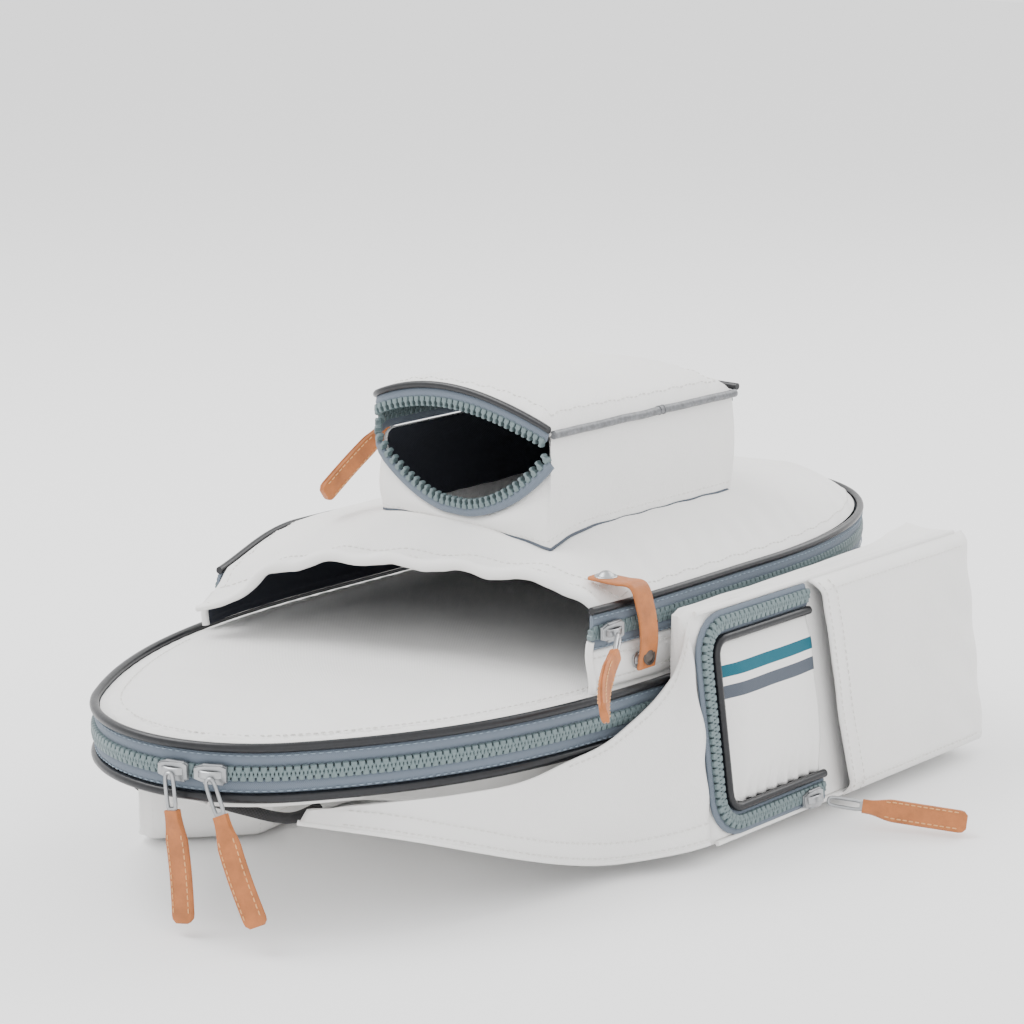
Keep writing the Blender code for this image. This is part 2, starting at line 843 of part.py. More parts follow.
def face_band(name, inset_a, inset_b, out_a, out_b, look, origin, low_end=FLAP_END):
    """A flat band on the pocket's face between two outlines of the flap."""
    outer, inner = flap_path(inset_a, low_end), flap_path(inset_b, low_end)
    points = []
    for (y0, z0), (y1, z1) in zip(outer, inner):
        points += [
            face_point(y0, z0, out_a),
            face_point(y1, z1, out_a),
            face_point(y1, z1, out_b),
            face_point(y0, z0, out_b),
        ]
    count = len(outer)
    faces = []
    for i in range(count - 1):
        a, b = 4 * i, 4 * (i + 1)
        for j in range(4):
            k = (j + 1) % 4
            faces.append((a + j, a + k, b + k, b + j))
    faces += [(3, 2, 1, 0), tuple(4 * (count - 1) + j for j in range(4))]
    return make_object(name, mesh_of(name, points, faces), look, origin)


def build_flap(look, tape, piping, hinge):
    face_band("side_zip_fixed", 0.0, 0.0032, 0.0004, 0.0030, tape, (0, 0, 0))
    # It stops short of the slider, which stays on the pocket when the flap swings out.
    face_band("side_zip_flap", 0.0036, 0.0100, 0.0004, 0.0026, tape, hinge, FLAP_END - 0.0280)
    outline = flap_path(0.0146)
    points = [face_point(y, z, 0.0005) for y, z in outline]
    points += [face_point(y, z, 0.0032) for y, z in outline]
    count = len(outline)
    faces = [tuple(range(count)), tuple(reversed(range(count, 2 * count)))]
    for i in range(count):
        j = (i + 1) % count
        faces.append((i, j, count + j, count + i))
    make_object("side_flap", mesh_of("side_flap", points, faces), look, hinge)
    route = [face_point(y, z, 0.0024) for y, z in flap_path(0.0123)]
    tube("flap_piping", route, 0.0019, piping, origin=hinge)


def build_sleeve(look):
    """Outer pocket with an open mouth: a shallow tray whose rim is sewn to the side pocket."""
    start, end = FLAP_END + 0.004, SIDE_Y[1]
    low, high = SIDE_Z[0] + 0.002, SIDE_Z[1] - 0.002
    stand, rim, wall, rim_share = 0.0090, 0.0026, 0.0020, 0.05
    along = (0.0, 0.25, 0.50, 0.75, 0.95, 1.0)
    upward = (0.0, 0.05, 0.30, 0.50, 0.70, 0.95, 1.0)

    def place(s, t, shrink, sink):
        share_y = along[round(s * (len(along) - 1))]
        share_z = upward[round(t * (len(upward) - 1))]
        rise = min(share_z, 1.0 - share_z, 1.0 - share_y, rim_share) / rim_share
        y = start + (end - start) * share_y - shrink * share_y
        z = low + (high - low) * share_z + shrink * (1.0 - 2.0 * share_z)
        x, y, z = face_point(y, z, rim + (stand - rim) * rise)
        return (x - sink, y, z)

    mesh = grid_mesh(
        "pocket_sleeve",
        lambda s, t: place(s, t, 0.0, 0.0),
        lambda s, t: place(s, t, 0.0015, wall),
        len(along) - 1,
        len(upward) - 1,
    )
    return make_object("pocket_sleeve", mesh, look)


def build_wing(look):
    """Loose side gusset from under the nose to the side pocket's near edge."""
    hem = [
        (0.0520, 0.0460, 0.0430),
        (0.0920, 0.0730, 0.0380),
        (0.1160, 0.1180, 0.0230),
        (0.1240, 0.1500, 0.0130),
        (0.1300, 0.1760, 0.0075),
        (0.1440, 0.2050, 0.0080),
        (0.1510, 0.2190, 0.0095),
    ]
    top = [
        (0.0560, 0.0470, 0.0500),
        (0.0935, 0.0735, 0.0560),
        (0.1130, 0.1180, 0.0560),
        (0.1210, 0.1500, 0.0610),
        (0.1262, 0.1800, 0.0680),
        (0.1310, 0.2130, 0.0880),
        (0.1345, 0.2190, 0.1140),
    ]

    def edge(points, s):
        position = s * (len(points) - 1)
        i = min(int(position), len(points) - 2)
        return Vector(points[i]).lerp(Vector(points[i + 1]), position - i)

    def outer(s, t):
        point = edge(hem, s).lerp(edge(top, s), t)
        return (point.x + 0.004 * math.sin(math.pi * t) * smoothstep(0.2, 0.6, s), point.y, point.z)

    def inner(s, t):
        x, y, z = outer(s, t)
        return (x - 0.0020, y + 0.0008, z)

    mesh = grid_mesh("side_wing", outer, inner, 15, 6)
    return smooth(make_object("side_wing", mesh, look))


# ---------------------------------------------------------------- sliders, pulls and snap strap


def build_slider(name, centre, along, out, metal, leather, hang):
    """A slider, its puller and the folded leather pull. hang is the way the pull points."""
    centre, along, out = Vector(centre), Vector(along).normalized(), Vector(out).normalized()
    hang = Vector(hang).normalized()
    block(
        name + "_slider",
        SLIDER,
        frame_matrix(centre + out * (SLIDER[2] / 2), along, out),
        metal,
        tuple(centre),
        0.0012,
    )
    pivot = centre + out * (SLIDER[2] + GAP + PULLER[1] / 2)
    across = hang.cross(out).normalized()
    lift = across.cross(hang).normalized()
    reach = 0.005 * max(hang.dot(out), 0.0) - 0.0008
    middle = pivot + hang * (PULLER[2] / 2 + reach)
    block(
        name + "_puller",
        (PULLER[2], PULLER[0], PULLER[1]),
        frame_matrix(middle, hang, lift),
        metal,
        tuple(pivot),
        0.0006,
    )
    start = pivot + hang * (PULLER[2] + reach + GAP)
    block(
        name + "_pull",
        (LEATHER[2], LEATHER[0], LEATHER[1]),
        frame_matrix(start + hang * (LEATHER[2] / 2), hang, lift),
        leather,
        tuple(pivot),
        0.0009,
    )


def build_sliders(metal, leather):
    hangs = {"main_left": (0.13, -0.02, -0.99), "main_right": (0.45, -0.02, -0.89)}
    for name, angle in (("main_left", 15.0), ("main_right", 27.5)):
        turn = math.radians(angle)
        out = Vector((math.sin(turn), -math.cos(turn), 0.0))
        along = Vector((math.cos(turn), math.sin(turn), 0.0))
        centre = Vector((0.0, NOSE_RADIUS, MAIN_SPLIT)) + out * (NOSE_RADIUS + 0.0013)
        build_slider(name, centre, along, out, metal, leather, hangs[name])
    slider_y = GUSSET_RIGHT_Y + 0.010
    x = half_width(slider_y) - RACKET_INSET + 0.0026
    build_slider(
        "racket", (x, slider_y, RACKET_SPLIT), (0, 1, 0), (1, 0, 0), metal, leather, (0.53, -0.80, -0.28)
    )
    build_slider(
        "pouch",
        (POUCH_X[0] - 0.0026, POUCH_Y[0] + 0.036, POUCH_SPLIT),
        (0, 1, 0),
        (-1, 0, 0),
        metal,
        leather,
        (-0.08, -0.82, -0.57),
    )
    base = Vector(face_point(FLAP_END - 0.014, SIDE_Z[0] + 0.0070, 0.0038))
    out = Vector(face_point(0, 0, 1)) - Vector(face_point(0, 0, 0))
    build_slider("side", base, (0, 1, 0), out, metal, leather, (0.86, 0.49, -0.10))


def build_snap_strap(leather, metal, snap, origin, fold):
    """Leather strap from a dome snap on the cover, over the zipper, to a stud on the gusset.

    A short tab stays under the snap. The rest swings up about the fold beside it.
    """
    y = snap[1]
    top, bend, edge = Vector(snap), Vector(fold), half_width(y) - RACKET_INSET
    tab = [top + Vector((-0.008, 0, 0.0002)), bend + Vector((-0.0015, 0, 0))]
    ribbon("snap_tab", tab, [90.0] * len(tab), 0.012, 0.0018, leather, origin=origin)
    route = [
        bend + Vector((0.0012, 0, 0)),
        Vector((edge + 0.0040, y + 0.001, RACKET_SPLIT + 0.0180)),
        Vector((edge + 0.0072, y + 0.002, RACKET_SPLIT + 0.0080)),
        Vector((edge + 0.0084, y + 0.003, RACKET_SPLIT - 0.0020)),
        Vector((edge + 0.0078, y + 0.004, RACKET_SPLIT - 0.0110)),
        Vector((edge + 0.0060, y + 0.004, RACKET_SPLIT - 0.0215)),
    ]
    ribbon("snap_strap", route, [90.0] * len(route), 0.012, 0.0018, leather, origin=fold)
    place = Matrix.Translation(top + Vector((-0.002, 0.0, 0.0026)))
    disc("snap_cap", 0.0050, 0.0022, place, metal, origin)
    turn = Matrix.Rotation(math.radians(90.0), 4, "Y")
    stud = Matrix.Translation((edge + 0.0031, y + 0.0035, RACKET_SPLIT - 0.0180)) @ turn
    disc("snap_stud", 0.0040, 0.0030, stud, metal, (0.0, 0.0, 0.0))


def main():
    clear_scene()
    fabric = material("white_fabric", (0.80, 0.79, 0.76), 0.75)
    lining = material("back_mesh", (0.55, 0.55, 0.54), 0.85)
    tape = material("zipper_tape", (0.20, 0.25, 0.31), 0.70)
    teeth = material("zipper_teeth", (0.28, 0.35, 0.37), 0.45)
    piping = material("black_piping", (0.015, 0.015, 0.018), 0.25)
    webbing = material("black_webbing", (0.02, 0.02, 0.02), 0.80)
    plastic = material("black_plastic", (0.02, 0.02, 0.02), 0.50)
    metal = material("satin_metal", (0.62, 0.62, 0.62), 0.35, 1.0)
    leather = material("tan_leather", (0.55, 0.24, 0.09), 0.50)

    build_shell(fabric)
    build_back_panel(lining)
    build_straps(fabric, webbing, plastic)
    build_haul_loop(webbing)
    build_main_zipper(tape, teeth, piping, "lower")
    build_hinge_gusset(fabric)
    build_side_pocket(fabric)
    build_sleeve(fabric)
    build_wing(fabric)

    flap_hinge = face_point(FLAP_END, (SIDE_Z[0] + SIDE_Z[1]) / 2, 0.002)
    build_flap(fabric, tape, piping, flap_hinge)

    build_front_panel(fabric)
    build_main_zipper(tape, teeth, piping, "upper")
    build_racket_pocket_edge(fabric, tape, teeth)

    cover_hinge = (-HEAD_HALF - 0.0005, 0.300, RACKET_SPLIT)
    build_cover(fabric, fabric, cover_hinge)
    build_cover_zipper(tape, teeth, piping, cover_hinge)
    build_pouch_walls(fabric, cover_hinge)
    build_pouch_zip_lower(tape, cover_hinge)

    lid_hinge = (POUCH_X[1] + 0.001, 0.278, POUCH_SPLIT + POUCH_ZIP_HALF)
    build_lid(fabric, tape, piping, lid_hinge)

    build_sliders(metal, leather)
    snap_y = GUSSET_RIGHT_Y + 0.027
    snap_x = half_width(snap_y) - 0.0180
    snap = (snap_x, snap_y, cover_height(snap_x, snap_y) + 0.0042)
    fold = (snap_x + 0.0075, snap_y, snap[2])
    build_snap_strap(leather, metal, snap, cover_hinge, fold)

    for obj in bpy.data.objects:
        obj.location -= Vector(MIDDLE)


main()
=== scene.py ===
"""The looks of a racket backpack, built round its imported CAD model.

Metres, +Z up. Shapes are placed about the bag's own long axis, with the nose at Y = 0 and the
side pocket at +X, and every piece is then moved by MIDDLE into the CAD model's frame.
"""

import math

import bmesh
import bpy
from mathutils import Matrix, Vector, noise


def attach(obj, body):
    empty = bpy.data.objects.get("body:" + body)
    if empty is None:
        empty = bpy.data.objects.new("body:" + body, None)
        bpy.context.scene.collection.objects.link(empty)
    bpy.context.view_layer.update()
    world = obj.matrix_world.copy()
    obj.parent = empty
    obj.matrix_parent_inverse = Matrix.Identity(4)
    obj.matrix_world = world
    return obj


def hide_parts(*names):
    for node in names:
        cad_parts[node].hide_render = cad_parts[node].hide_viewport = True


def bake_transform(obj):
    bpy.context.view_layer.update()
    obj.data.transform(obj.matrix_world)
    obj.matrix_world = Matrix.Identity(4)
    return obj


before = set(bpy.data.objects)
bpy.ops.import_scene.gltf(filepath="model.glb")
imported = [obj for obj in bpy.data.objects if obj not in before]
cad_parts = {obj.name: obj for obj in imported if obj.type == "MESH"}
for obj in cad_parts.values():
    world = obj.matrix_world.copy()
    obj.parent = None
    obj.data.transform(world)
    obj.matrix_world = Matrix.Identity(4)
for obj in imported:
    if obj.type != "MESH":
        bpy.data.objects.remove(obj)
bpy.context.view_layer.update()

# ---------------------------------------------------------------- sizes, as in the CAD model

MIDDLE = Vector((0.0485, 0.2389, 0.0))
LENGTH = 0.485
HEAD_HALF = 0.120
HEAD_Y = 0.300
HEAD_POWER = 2.3
NOSE_RADIUS = 0.080
NOSE_SWEEP = math.radians(53.0)
GAP = 0.0003

STRAP_THICK = 0.008
STRAP_WIDTH = 0.064
STRAP_LEFT_X = -0.040
STRAP_RIGHT_X = 0.046
STRAP_FOLD = Vector((-0.0515, 0.0870, 0.0))
STRAP_TURN = 47.5
PANEL_THICK = 0.009
SHELL_FLOOR = 0.0185
SHELL_TOP = 0.0590
MAIN_SPLIT = 0.0730
TOOTH_HALF = 0.0032
TAPE_HIGH = 0.0058
MAIN_PIPING = 0.0022
ZIP_END_Y = 0.430

FRONT_TOP = 0.0858
GUSSET_LOW = 0.0868
RACKET_SPLIT = 0.1150
RACKET_INSET = 0.0050
RACKET_TAPE = 0.0048
COVER_PIPING = 0.0019
COVER_EDGE = 0.1262
COVER_CROWN = 0.0220
MOUTH_Y = 0.160
MOUTH_SKEW = 0.034
GUSSET_RIGHT_Y = 0.176
GUSSET_LEFT_Y = 0.142

POUCH_X = (-0.054, 0.064)
POUCH_Y = (0.206, 0.350)
POUCH_TOP = 0.1835
POUCH_SPLIT = 0.1905
POUCH_ZIP_HALF = 0.0065
POUCH_CORNER = 0.014
POUCH_DENT = 0.0100
LID_CROWN = 0.0135

SIDE_INNER_X = 0.1235
SIDE_TOP_X = 0.1340
SIDE_LOW_X = 0.1500
SIDE_Y = (0.222, 0.454)
SIDE_Z = (0.0060, 0.1185)
FLAP_END = 0.312
FLAP_CORNER = 0.020

SLIDER = (0.0150, 0.0095, 0.0040)
PULLER = (0.0060, 0.0022, 0.0200)
LEATHER = (0.0110, 0.0046, 0.0480)

# ---------------------------------------------------------------- sizes of the looks alone

TOOTH_PITCH = 0.0036
STITCH_PITCH = 0.0034
STITCH_LONG = 0.0024
THREAD = 0.00032
WEAVE_PITCH = 0.0011
FABRIC = 0.0016
COVER_FABRIC = 0.0020
SLEEVE_FABRIC = 0.0014
FLAP_FABRIC = 0.0011
LID_ARCH = 0.0130
WALL_SAG = 0.0340
ZIP_LAP = 0.0010
GUSSET_SEAMS = (0.22, 0.80)
MOUTH_SEAMS = (0.0035, 0.0115)
SLEEVE_SEAMS = (0.0020, 0.0100)
WING_SEAMS = (0.0030, 0.0105)
FLAP_INSET = 0.0140
STRIPES = ((0.0742, 0.0805, 2), (0.0845, 0.0903, 1))
DOOR_Y = (SIDE_Y[0] + 0.010, FLAP_END - 0.004)
DOOR_Z = (SIDE_Z[0] + 0.010, SIDE_Z[1] - 0.010)

CAMERA_PLACE = Vector((0.958, -0.8507, 0.4792))
CAMERA_TILT = 77.0
CAMERA_TURN = 41.0
CAMERA_LENS = 105.39
CAMERA_SENSOR = 36.0
FLOOR_HALF = 6.0
SKY_STRENGTH = 1.70
LAMPS = (
    ("key", (-1.0, -0.5, 1.7), (0, 0, 0.08), 1.1, 30.0),
    ("fill", (1.6, -0.9, 0.9), (0, 0, 0.08), 1.6, 6.0),
    ("rim", (0.2, 1.6, 1.3), (0, 0, 0.1), 1.2, 16.0),
)


# ---------------------------------------------------------------- outlines


def smoothstep(low, high, value):
    t = min(max((value - low) / (high - low), 0.0), 1.0)
    return t * t * (3.0 - 2.0 * t)


def half_width(y):
    nose_end = NOSE_RADIUS * (1.0 - math.cos(NOSE_SWEEP))
    if y <= nose_end:
        return math.sqrt(max(NOSE_RADIUS**2 - (NOSE_RADIUS - y) ** 2, 0.0))
    if y <= HEAD_Y:
        span = HEAD_Y - nose_end
        t = (y - nose_end) / span
        start = NOSE_RADIUS * math.sin(NOSE_SWEEP)
        slope = span / math.tan(NOSE_SWEEP)
        return (
            (1 - 3 * t**2 + 2 * t**3) * start
            + (t - 2 * t**2 + t**3) * slope
            + (3 * t**2 - 2 * t**3) * HEAD_HALF
        )
    u = min((y - HEAD_Y) / (LENGTH - HEAD_Y), 1.0)
    return HEAD_HALF * (1.0 - u**HEAD_POWER) ** (1.0 / HEAD_POWER)


def inset_width(y, inset):
    """Half width at y of the outline drawn inwards by an inset."""
    if y > HEAD_Y:
        u = min((y - HEAD_Y) / (LENGTH - inset - HEAD_Y), 1.0)
        return (HEAD_HALF - inset) * (1.0 - u**HEAD_POWER) ** (1.0 / HEAD_POWER)
    radius = NOSE_RADIUS - inset
    if y < NOSE_RADIUS - radius * math.cos(NOSE_SWEEP):
        return math.sqrt(max(radius**2 - (NOSE_RADIUS - y) ** 2, 0.0))
    step = 1e-4
    slope = (half_width(y + step) - half_width(y - step)) / (2 * step)
    return half_width(y) - inset * math.hypot(1.0, slope)


def nose_side(y_end, arc_steps=20, side_steps=50):
    points = []
    for i in range(arc_steps + 1):
        angle = NOSE_SWEEP * i / arc_steps
        points.append((NOSE_RADIUS * math.sin(angle), NOSE_RADIUS * (1 - math.cos(angle))))
    start = points[-1][1]
    for i in range(1, side_steps + 1):
        y = start + (y_end - start) * i / side_steps
        points.append((half_width(y), y))
    return points


def head_side(y_start, side_steps=20, end_steps=40):
    points = []
    for i in range(side_steps):
        y = y_start + (HEAD_Y - y_start) * i / side_steps
        points.append((half_width(y), y))
    for i in range(end_steps + 1):
        angle = 0.5 * math.pi * i / end_steps
        x = HEAD_HALF * max(math.cos(angle), 0.0) ** (2.0 / HEAD_POWER)
        y = HEAD_Y + (LENGTH - HEAD_Y) * math.sin(angle) ** (2.0 / HEAD_POWER)
        points.append((x, y))
    return points


def mirrored(points):
    return [(-x, y) for x, y in points]


def round_nose_path(y_end):
    right = nose_side(y_end)
    return mirrored(right[:0:-1]) + right


def round_head_path(y_right, y_left):
    right = head_side(y_right)
    left = mirrored(head_side(y_left))
    return right + left[-2::-1]


def mouth_y(side):
    return MOUTH_Y + MOUTH_SKEW * side


def pouch_floor(x, y):
    inside = 1.0
    for value, (start, end) in ((x, POUCH_X), (y, POUCH_Y)):
        reach = abs(value - (start + end) / 2) / ((end - start) / 2)
        inside *= 1.0 - smoothstep(0.60, 0.95, reach)
    return inside


def cover_height(x, y):
    """Top of the racket pocket's cover, with its mouth drooping at both ends."""
    half = max(inset_width(y, 0.0080), 0.01)
    side = min(max(x / half, -1.0), 1.0)
    dome = 1.0 - abs(side) ** 3.0
    behind_mouth = y - mouth_y(side)
    rise = COVER_CROWN * (0.42 + 0.58 * smoothstep(0.0, 0.060, behind_mouth))
    far = 1.0 - smoothstep(LENGTH - 0.090, LENGTH, y) * 0.75
    lean = 0.0030 * side * (1.0 - side * side) * 2.0
    near = 1.0 - smoothstep(0.0, 0.022, behind_mouth)
    droop = 0.020 * smoothstep(0.62, 1.0, -side) + 0.008 * smoothstep(0.80, 1.0, side)
    height = COVER_EDGE + (rise * dome + lean) * far - droop * near
    return height - POUCH_DENT * pouch_floor(x, y)


def cover_plan(side, t):
    start = mouth_y(side)
    end = LENGTH - 0.0086
    y = start + (end - start) * math.sin(0.5 * math.pi * t)
    return side * max(inset_width(y, 0.0080), 0.010), y


def pouch_path(step=0.004, corner_steps=8):
    (x0, x1), (y0, y1) = POUCH_X, POUCH_Y
    corners = [(x1, y0, 0), (x0, y0, 1), (x0, y1, 1), (x1, y1, 0)]
    path = []
    for i, (x, y, rounded) in enumerate(corners):
        if not rounded:
            path.append((x, y))
            continue
        bx, by, _ = corners[i - 1]
        ax, ay, _ = corners[i + 1]
        before = Vector((bx - x, by - y)).normalized() * POUCH_CORNER
        after = Vector((ax - x, ay - y)).normalized() * POUCH_CORNER
        for k in range(corner_steps + 1):
            t = k / corner_steps
            point = Vector((x, y)) + before * (1 - t) ** 2 + after * t**2
            path.append((point.x, point.y))
    return resample(path, step)


def pouch_mouth(x, y):
    """1 in the middle of the near end, where the zipper is open, and 0 away from it."""
    across = (x - POUCH_X[0]) / (POUCH_X[1] - POUCH_X[0])
    hump = math.sin(math.pi * min(max(across, 0.0), 1.0)) ** 0.8
    return hump * (1.0 - smoothstep(0.002, 0.030, y - POUCH_Y[0]))


def lid_arch(x, y):
    """How far the lid's edge is lifted over the open near end."""
    across = min(max((x - POUCH_X[0]) / (POUCH_X[1] - POUCH_X[0]), 0.0), 1.0)
    hump = math.sin(math.pi * across ** 0.85) ** 0.9 if 0.0 < across < 1.0 else 0.0
    return LID_ARCH * hump * (1.0 - smoothstep(0.0, 0.075, y - POUCH_Y[0]))


def lid_base(x, y):
    return POUCH_SPLIT + POUCH_ZIP_HALF + 2 * GAP + lid_arch(x, y)


def shell_half_width(y):
    return inset_width(y, 0.0045) + 0.0072 * smoothstep(0.16, 0.235, y)


def shell_floor(y):
    return SHELL_FLOOR + (SHELL_TOP - 0.004 - SHELL_FLOOR) * (1.0 - smoothstep(0.05, 0.20, y))


def face_x(z):
    t = (z - SIDE_Z[0]) / (SIDE_Z[1] - SIDE_Z[0])
    return SIDE_LOW_X + (SIDE_TOP_X - SIDE_LOW_X) * t


LEAN = math.atan2(SIDE_LOW_X - SIDE_TOP_X, SIDE_Z[1] - SIDE_Z[0])
FACE_OUT = Vector((math.cos(LEAN), 0.0, math.sin(LEAN)))


def face_point(y, z, out):
    return Vector((face_x(z), y, z)) + FACE_OUT * out


def pocket_inner(y):
    room = 0.0035 + 0.0090 * smoothstep(0.34, 0.42, y) + 0.0115 * smoothstep(0.415, 0.454, y)
    return min(SIDE_INNER_X, half_width(y) + room)


def flap_path(inset, steps=10):
    near, end = SIDE_Y[0] + 0.002 + inset, FLAP_END
    low, high = SIDE_Z[0] + 0.004 + inset, SIDE_Z[1] - 0.003 - inset
    corner = FLAP_CORNER - inset
    path = [(end, high)]
    for centre_z, first in ((high - corner, 0.0), (low + corner, 90.0)):
        for k in range(steps + 1):
            angle = math.radians(first + 90.0 * k / steps)
            path.append((near + corner - corner * math.sin(angle), centre_z + corner * math.cos(angle)))
    path.append((end, low))
    return path


# ---------------------------------------------------------------- curves


def resample(points, step):
    """Points at even steps along a polyline of any dimension."""
    points = [Vector(point) for point in points]
    lengths = [0.0]
    for a, b in zip(points, points[1:]):
        lengths.append(lengths[-1] + (b - a).length)
    count = max(2, round(lengths[-1] / step))
    found, k = [], 0
    for i in range(count + 1):
        target = lengths[-1] * i / count
        while k < len(points) - 2 and lengths[k + 1] < target:
            k += 1
        share = (target - lengths[k]) / max(lengths[k + 1] - lengths[k], 1e-9)
        found.append(points[k].lerp(points[k + 1], min(max(share, 0.0), 1.0)))
    return found


def smooth_curve(points, step):
    """Even steps along a smooth curve through the points."""
    points = [Vector(point) for point in points]
    dense = []
    for i in range(len(points) - 1):
        a = points[max(i - 1, 0)]
        b, c = points[i], points[i + 1]
        d = points[min(i + 2, len(points) - 1)]
        for k in range(12):
            t = k / 12
            dense.append(
                0.5
                * (
                    2 * b
                    + (c - a) * t
                    + (2 * a - 5 * b + 4 * c - d) * t**2
                    + (3 * b - 3 * c + d - a) * t**3
                )
            )
    dense.append(points[-1])
    return resample(dense, step)


def chunks(points):
    return list(zip(points, points[1:]))


def point_at(points, share):
    position = share * (len(points) - 1)
    i = min(int(position), len(points) - 2)
    return points[i].lerp(points[i + 1], position - i)


def tangents(points):
    last = len(points) - 1
    return [(points[min(i + 1, last)] - points[max(i - 1, 0)]).normalized() for i in range(last + 1)]


def plan_frames(path, height, offset=0.0, step=0.004):
    """Frames (point, outwards, upwards, along) on a plan path: outwards is to its right."""
    flat = resample(path, step)
    found = []
    for point, along in zip(flat, tangents(flat)):
        out = Vector((along.y, -along.x, 0.0))
        z = height(point.x, point.y) if callable(height) else height
        place = Vector((point.x, point.y, z)) + out * offset
        found.append((place, out, Vector((0, 0, 1)), Vector((along.x, along.y, 0.0))))
    return found


def face_frames(inset, out, step=0.003):
    """Frames round the flap on the side pocket's face: outwards is off the face."""
    flat = resample(flap_path(inset), step)
    points = [face_point(point.x, point.y, out) for point in flat]
    found = []
    for point, along in zip(points, tangents(points)):
        found.append((point, FACE_OUT, FACE_OUT.cross(along).normalized(), along))
    return found


def curve_frames(points, up):
    """Frames along a space curve: outwards is square to the curve and nearest to up."""
    found = []
    for point, along in zip(points, tangents(points)):
        side = along.cross(Vector(up))
        side = side.normalized() if side.length > 1e-6 else Vector((1, 0, 0))
        found.append((point, side.cross(along).normalized(), side, along))
    return found


# ---------------------------------------------------------------- mesh builder


SLUMPED = ("racket_gusset", "racket_tape", "racket_teeth", "cover_", "mouth_")


class Shape:
    """Collects vertices, faces, a material number for each face and a UV in metres."""

    def __init__(self):
        self.verts = []
        self.faces = []
        self.looks = []
        self.uvs = []

    def grid(self, rows, around=False, caps=False, look=0, skip=None, row_look=None):
        """A sheet over rows of points. around closes each row on itself."""
        base, wide = len(self.verts), len(rows[0])
        for row in rows:
            self.verts += [tuple(point) for point in row]
        along = [0.0]
        for a, b in zip(rows, rows[1:]):
            along.append(along[-1] + (Vector(b[wide // 2]) - Vector(a[wide // 2])).length)
        middle = rows[len(rows) // 2]
        ring = list(middle) + ([middle[0]] if around else [])
        across = [0.0]
        for a, b in zip(ring, ring[1:]):
            across.append(across[-1] + (Vector(b) - Vector(a)).length)
        for j in range(len(rows) - 1):
            for i in range(wide if around else wide - 1):
                if skip and skip(i, j):
                    continue
                k = (i + 1) % wide
                a, b = base + j * wide, base + (j + 1) * wide
                self.faces.append((a + i, a + k, b + k, b + i))
                self.looks.append(row_look(i, j) if row_look else look)
                u0, u1 = across[i], across[i + 1]
                v0, v1 = along[j], along[j + 1]
                self.uvs.append(((u0, v0), (u1, v0), (u1, v1), (u0, v1)))
        if caps:
            first = tuple(base + i for i in range(wide))
            last = tuple(base + (len(rows) - 1) * wide + i for i in range(wide))
            for face in (first[::-1], last):
                self.faces.append(face)
                self.looks.append(look)
                self.uvs.append(tuple((self.verts[v][0], self.verts[v][1]) for v in face))
        return self

    def solid(self, template, place, look=0):
        """A copy of a small template, (verts, faces), put in place by a matrix."""
        base = len(self.verts)
        verts, faces = template
        self.verts += [tuple(place @ Vector(vert)) for vert in verts]
        for face in faces:
            self.faces.append(tuple(base + i for i in face))
            self.looks.append(look)
            self.uvs.append(tuple((verts[i][0], verts[i][1]) for i in face))
        return self

    def mesh(self, name):
        made = bpy.data.meshes.new(name)
        made.from_pydata(self.verts, [], self.faces)
        made.polygons.foreach_set("material_index", self.looks)
        layer = made.uv_layers.new(name="UVMap")
        flat = [value for face in self.uvs for pair in face for value in pair]
        layer.data.foreach_set("uv", flat)
        made.update()
        return made


def put(name, shape, looks, body, replaced=(), angle=40.0, outward=True):
    """Makes the piece, moves it into the CAD frame and lets it ride on its body."""
    if name.startswith(SLUMPED):
        shape.verts = [tuple(slump(vert)) for vert in shape.verts]
    mesh = shape.mesh(name)
    if outward:
        fix_normals(mesh)
    for look in looks if isinstance(looks, (list, tuple)) else [looks]:
        mesh.materials.append(look)
    mesh.shade_smooth()
    mesh.set_sharp_from_angle(angle=math.radians(angle))
    obj = bpy.data.objects.new(name, mesh)
    obj.location = -MIDDLE
    bpy.context.scene.collection.objects.link(obj)
    if body:
        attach(obj, body)
    if replaced:
        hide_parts(*replaced)
    return obj


def fix_normals(mesh):
    bm = bmesh.new()
    bm.from_mesh(mesh)
    bmesh.ops.recalc_face_normals(bm, faces=bm.faces)
    bm.to_mesh(mesh)
    bm.free()


def turn_out(obj, direction):
    """Flips a sheet whose middle face looks away from the direction."""
    face = obj.data.polygons[len(obj.data.polygons) // 2]
    if face.normal.dot(Vector(direction)) < 0.0:
        obj.data.flip_normals()


def thicken(obj, thickness, offset=-1.0, inner_look=0):
    """Gives a sheet its thickness. With offset -1 it grows away from the side its normals face."""
    solidify = obj.modifiers.new("Thickness", "SOLIDIFY")
    solidify.thickness = thickness
    solidify.offset = offset
    solidify.material_offset = inner_look
    solidify.material_offset_rim = 0


def rounded_box(size, bevel):
    """A template box with cut edges: (verts, faces)."""
    bm = bmesh.new()
    bmesh.ops.create_cube(bm, size=1.0)
    bmesh.ops.scale(bm, vec=size, verts=bm.verts)
    bmesh.ops.bevel(bm, geom=bm.edges, offset=bevel, segments=2, profile=0.6, affect="EDGES")
    bm.verts.ensure_lookup_table()
    verts = [tuple(vert.co) for vert in bm.verts]
    faces = [tuple(vert.index for vert in face.verts) for face in bm.faces]
    bm.free()
    return verts, faces


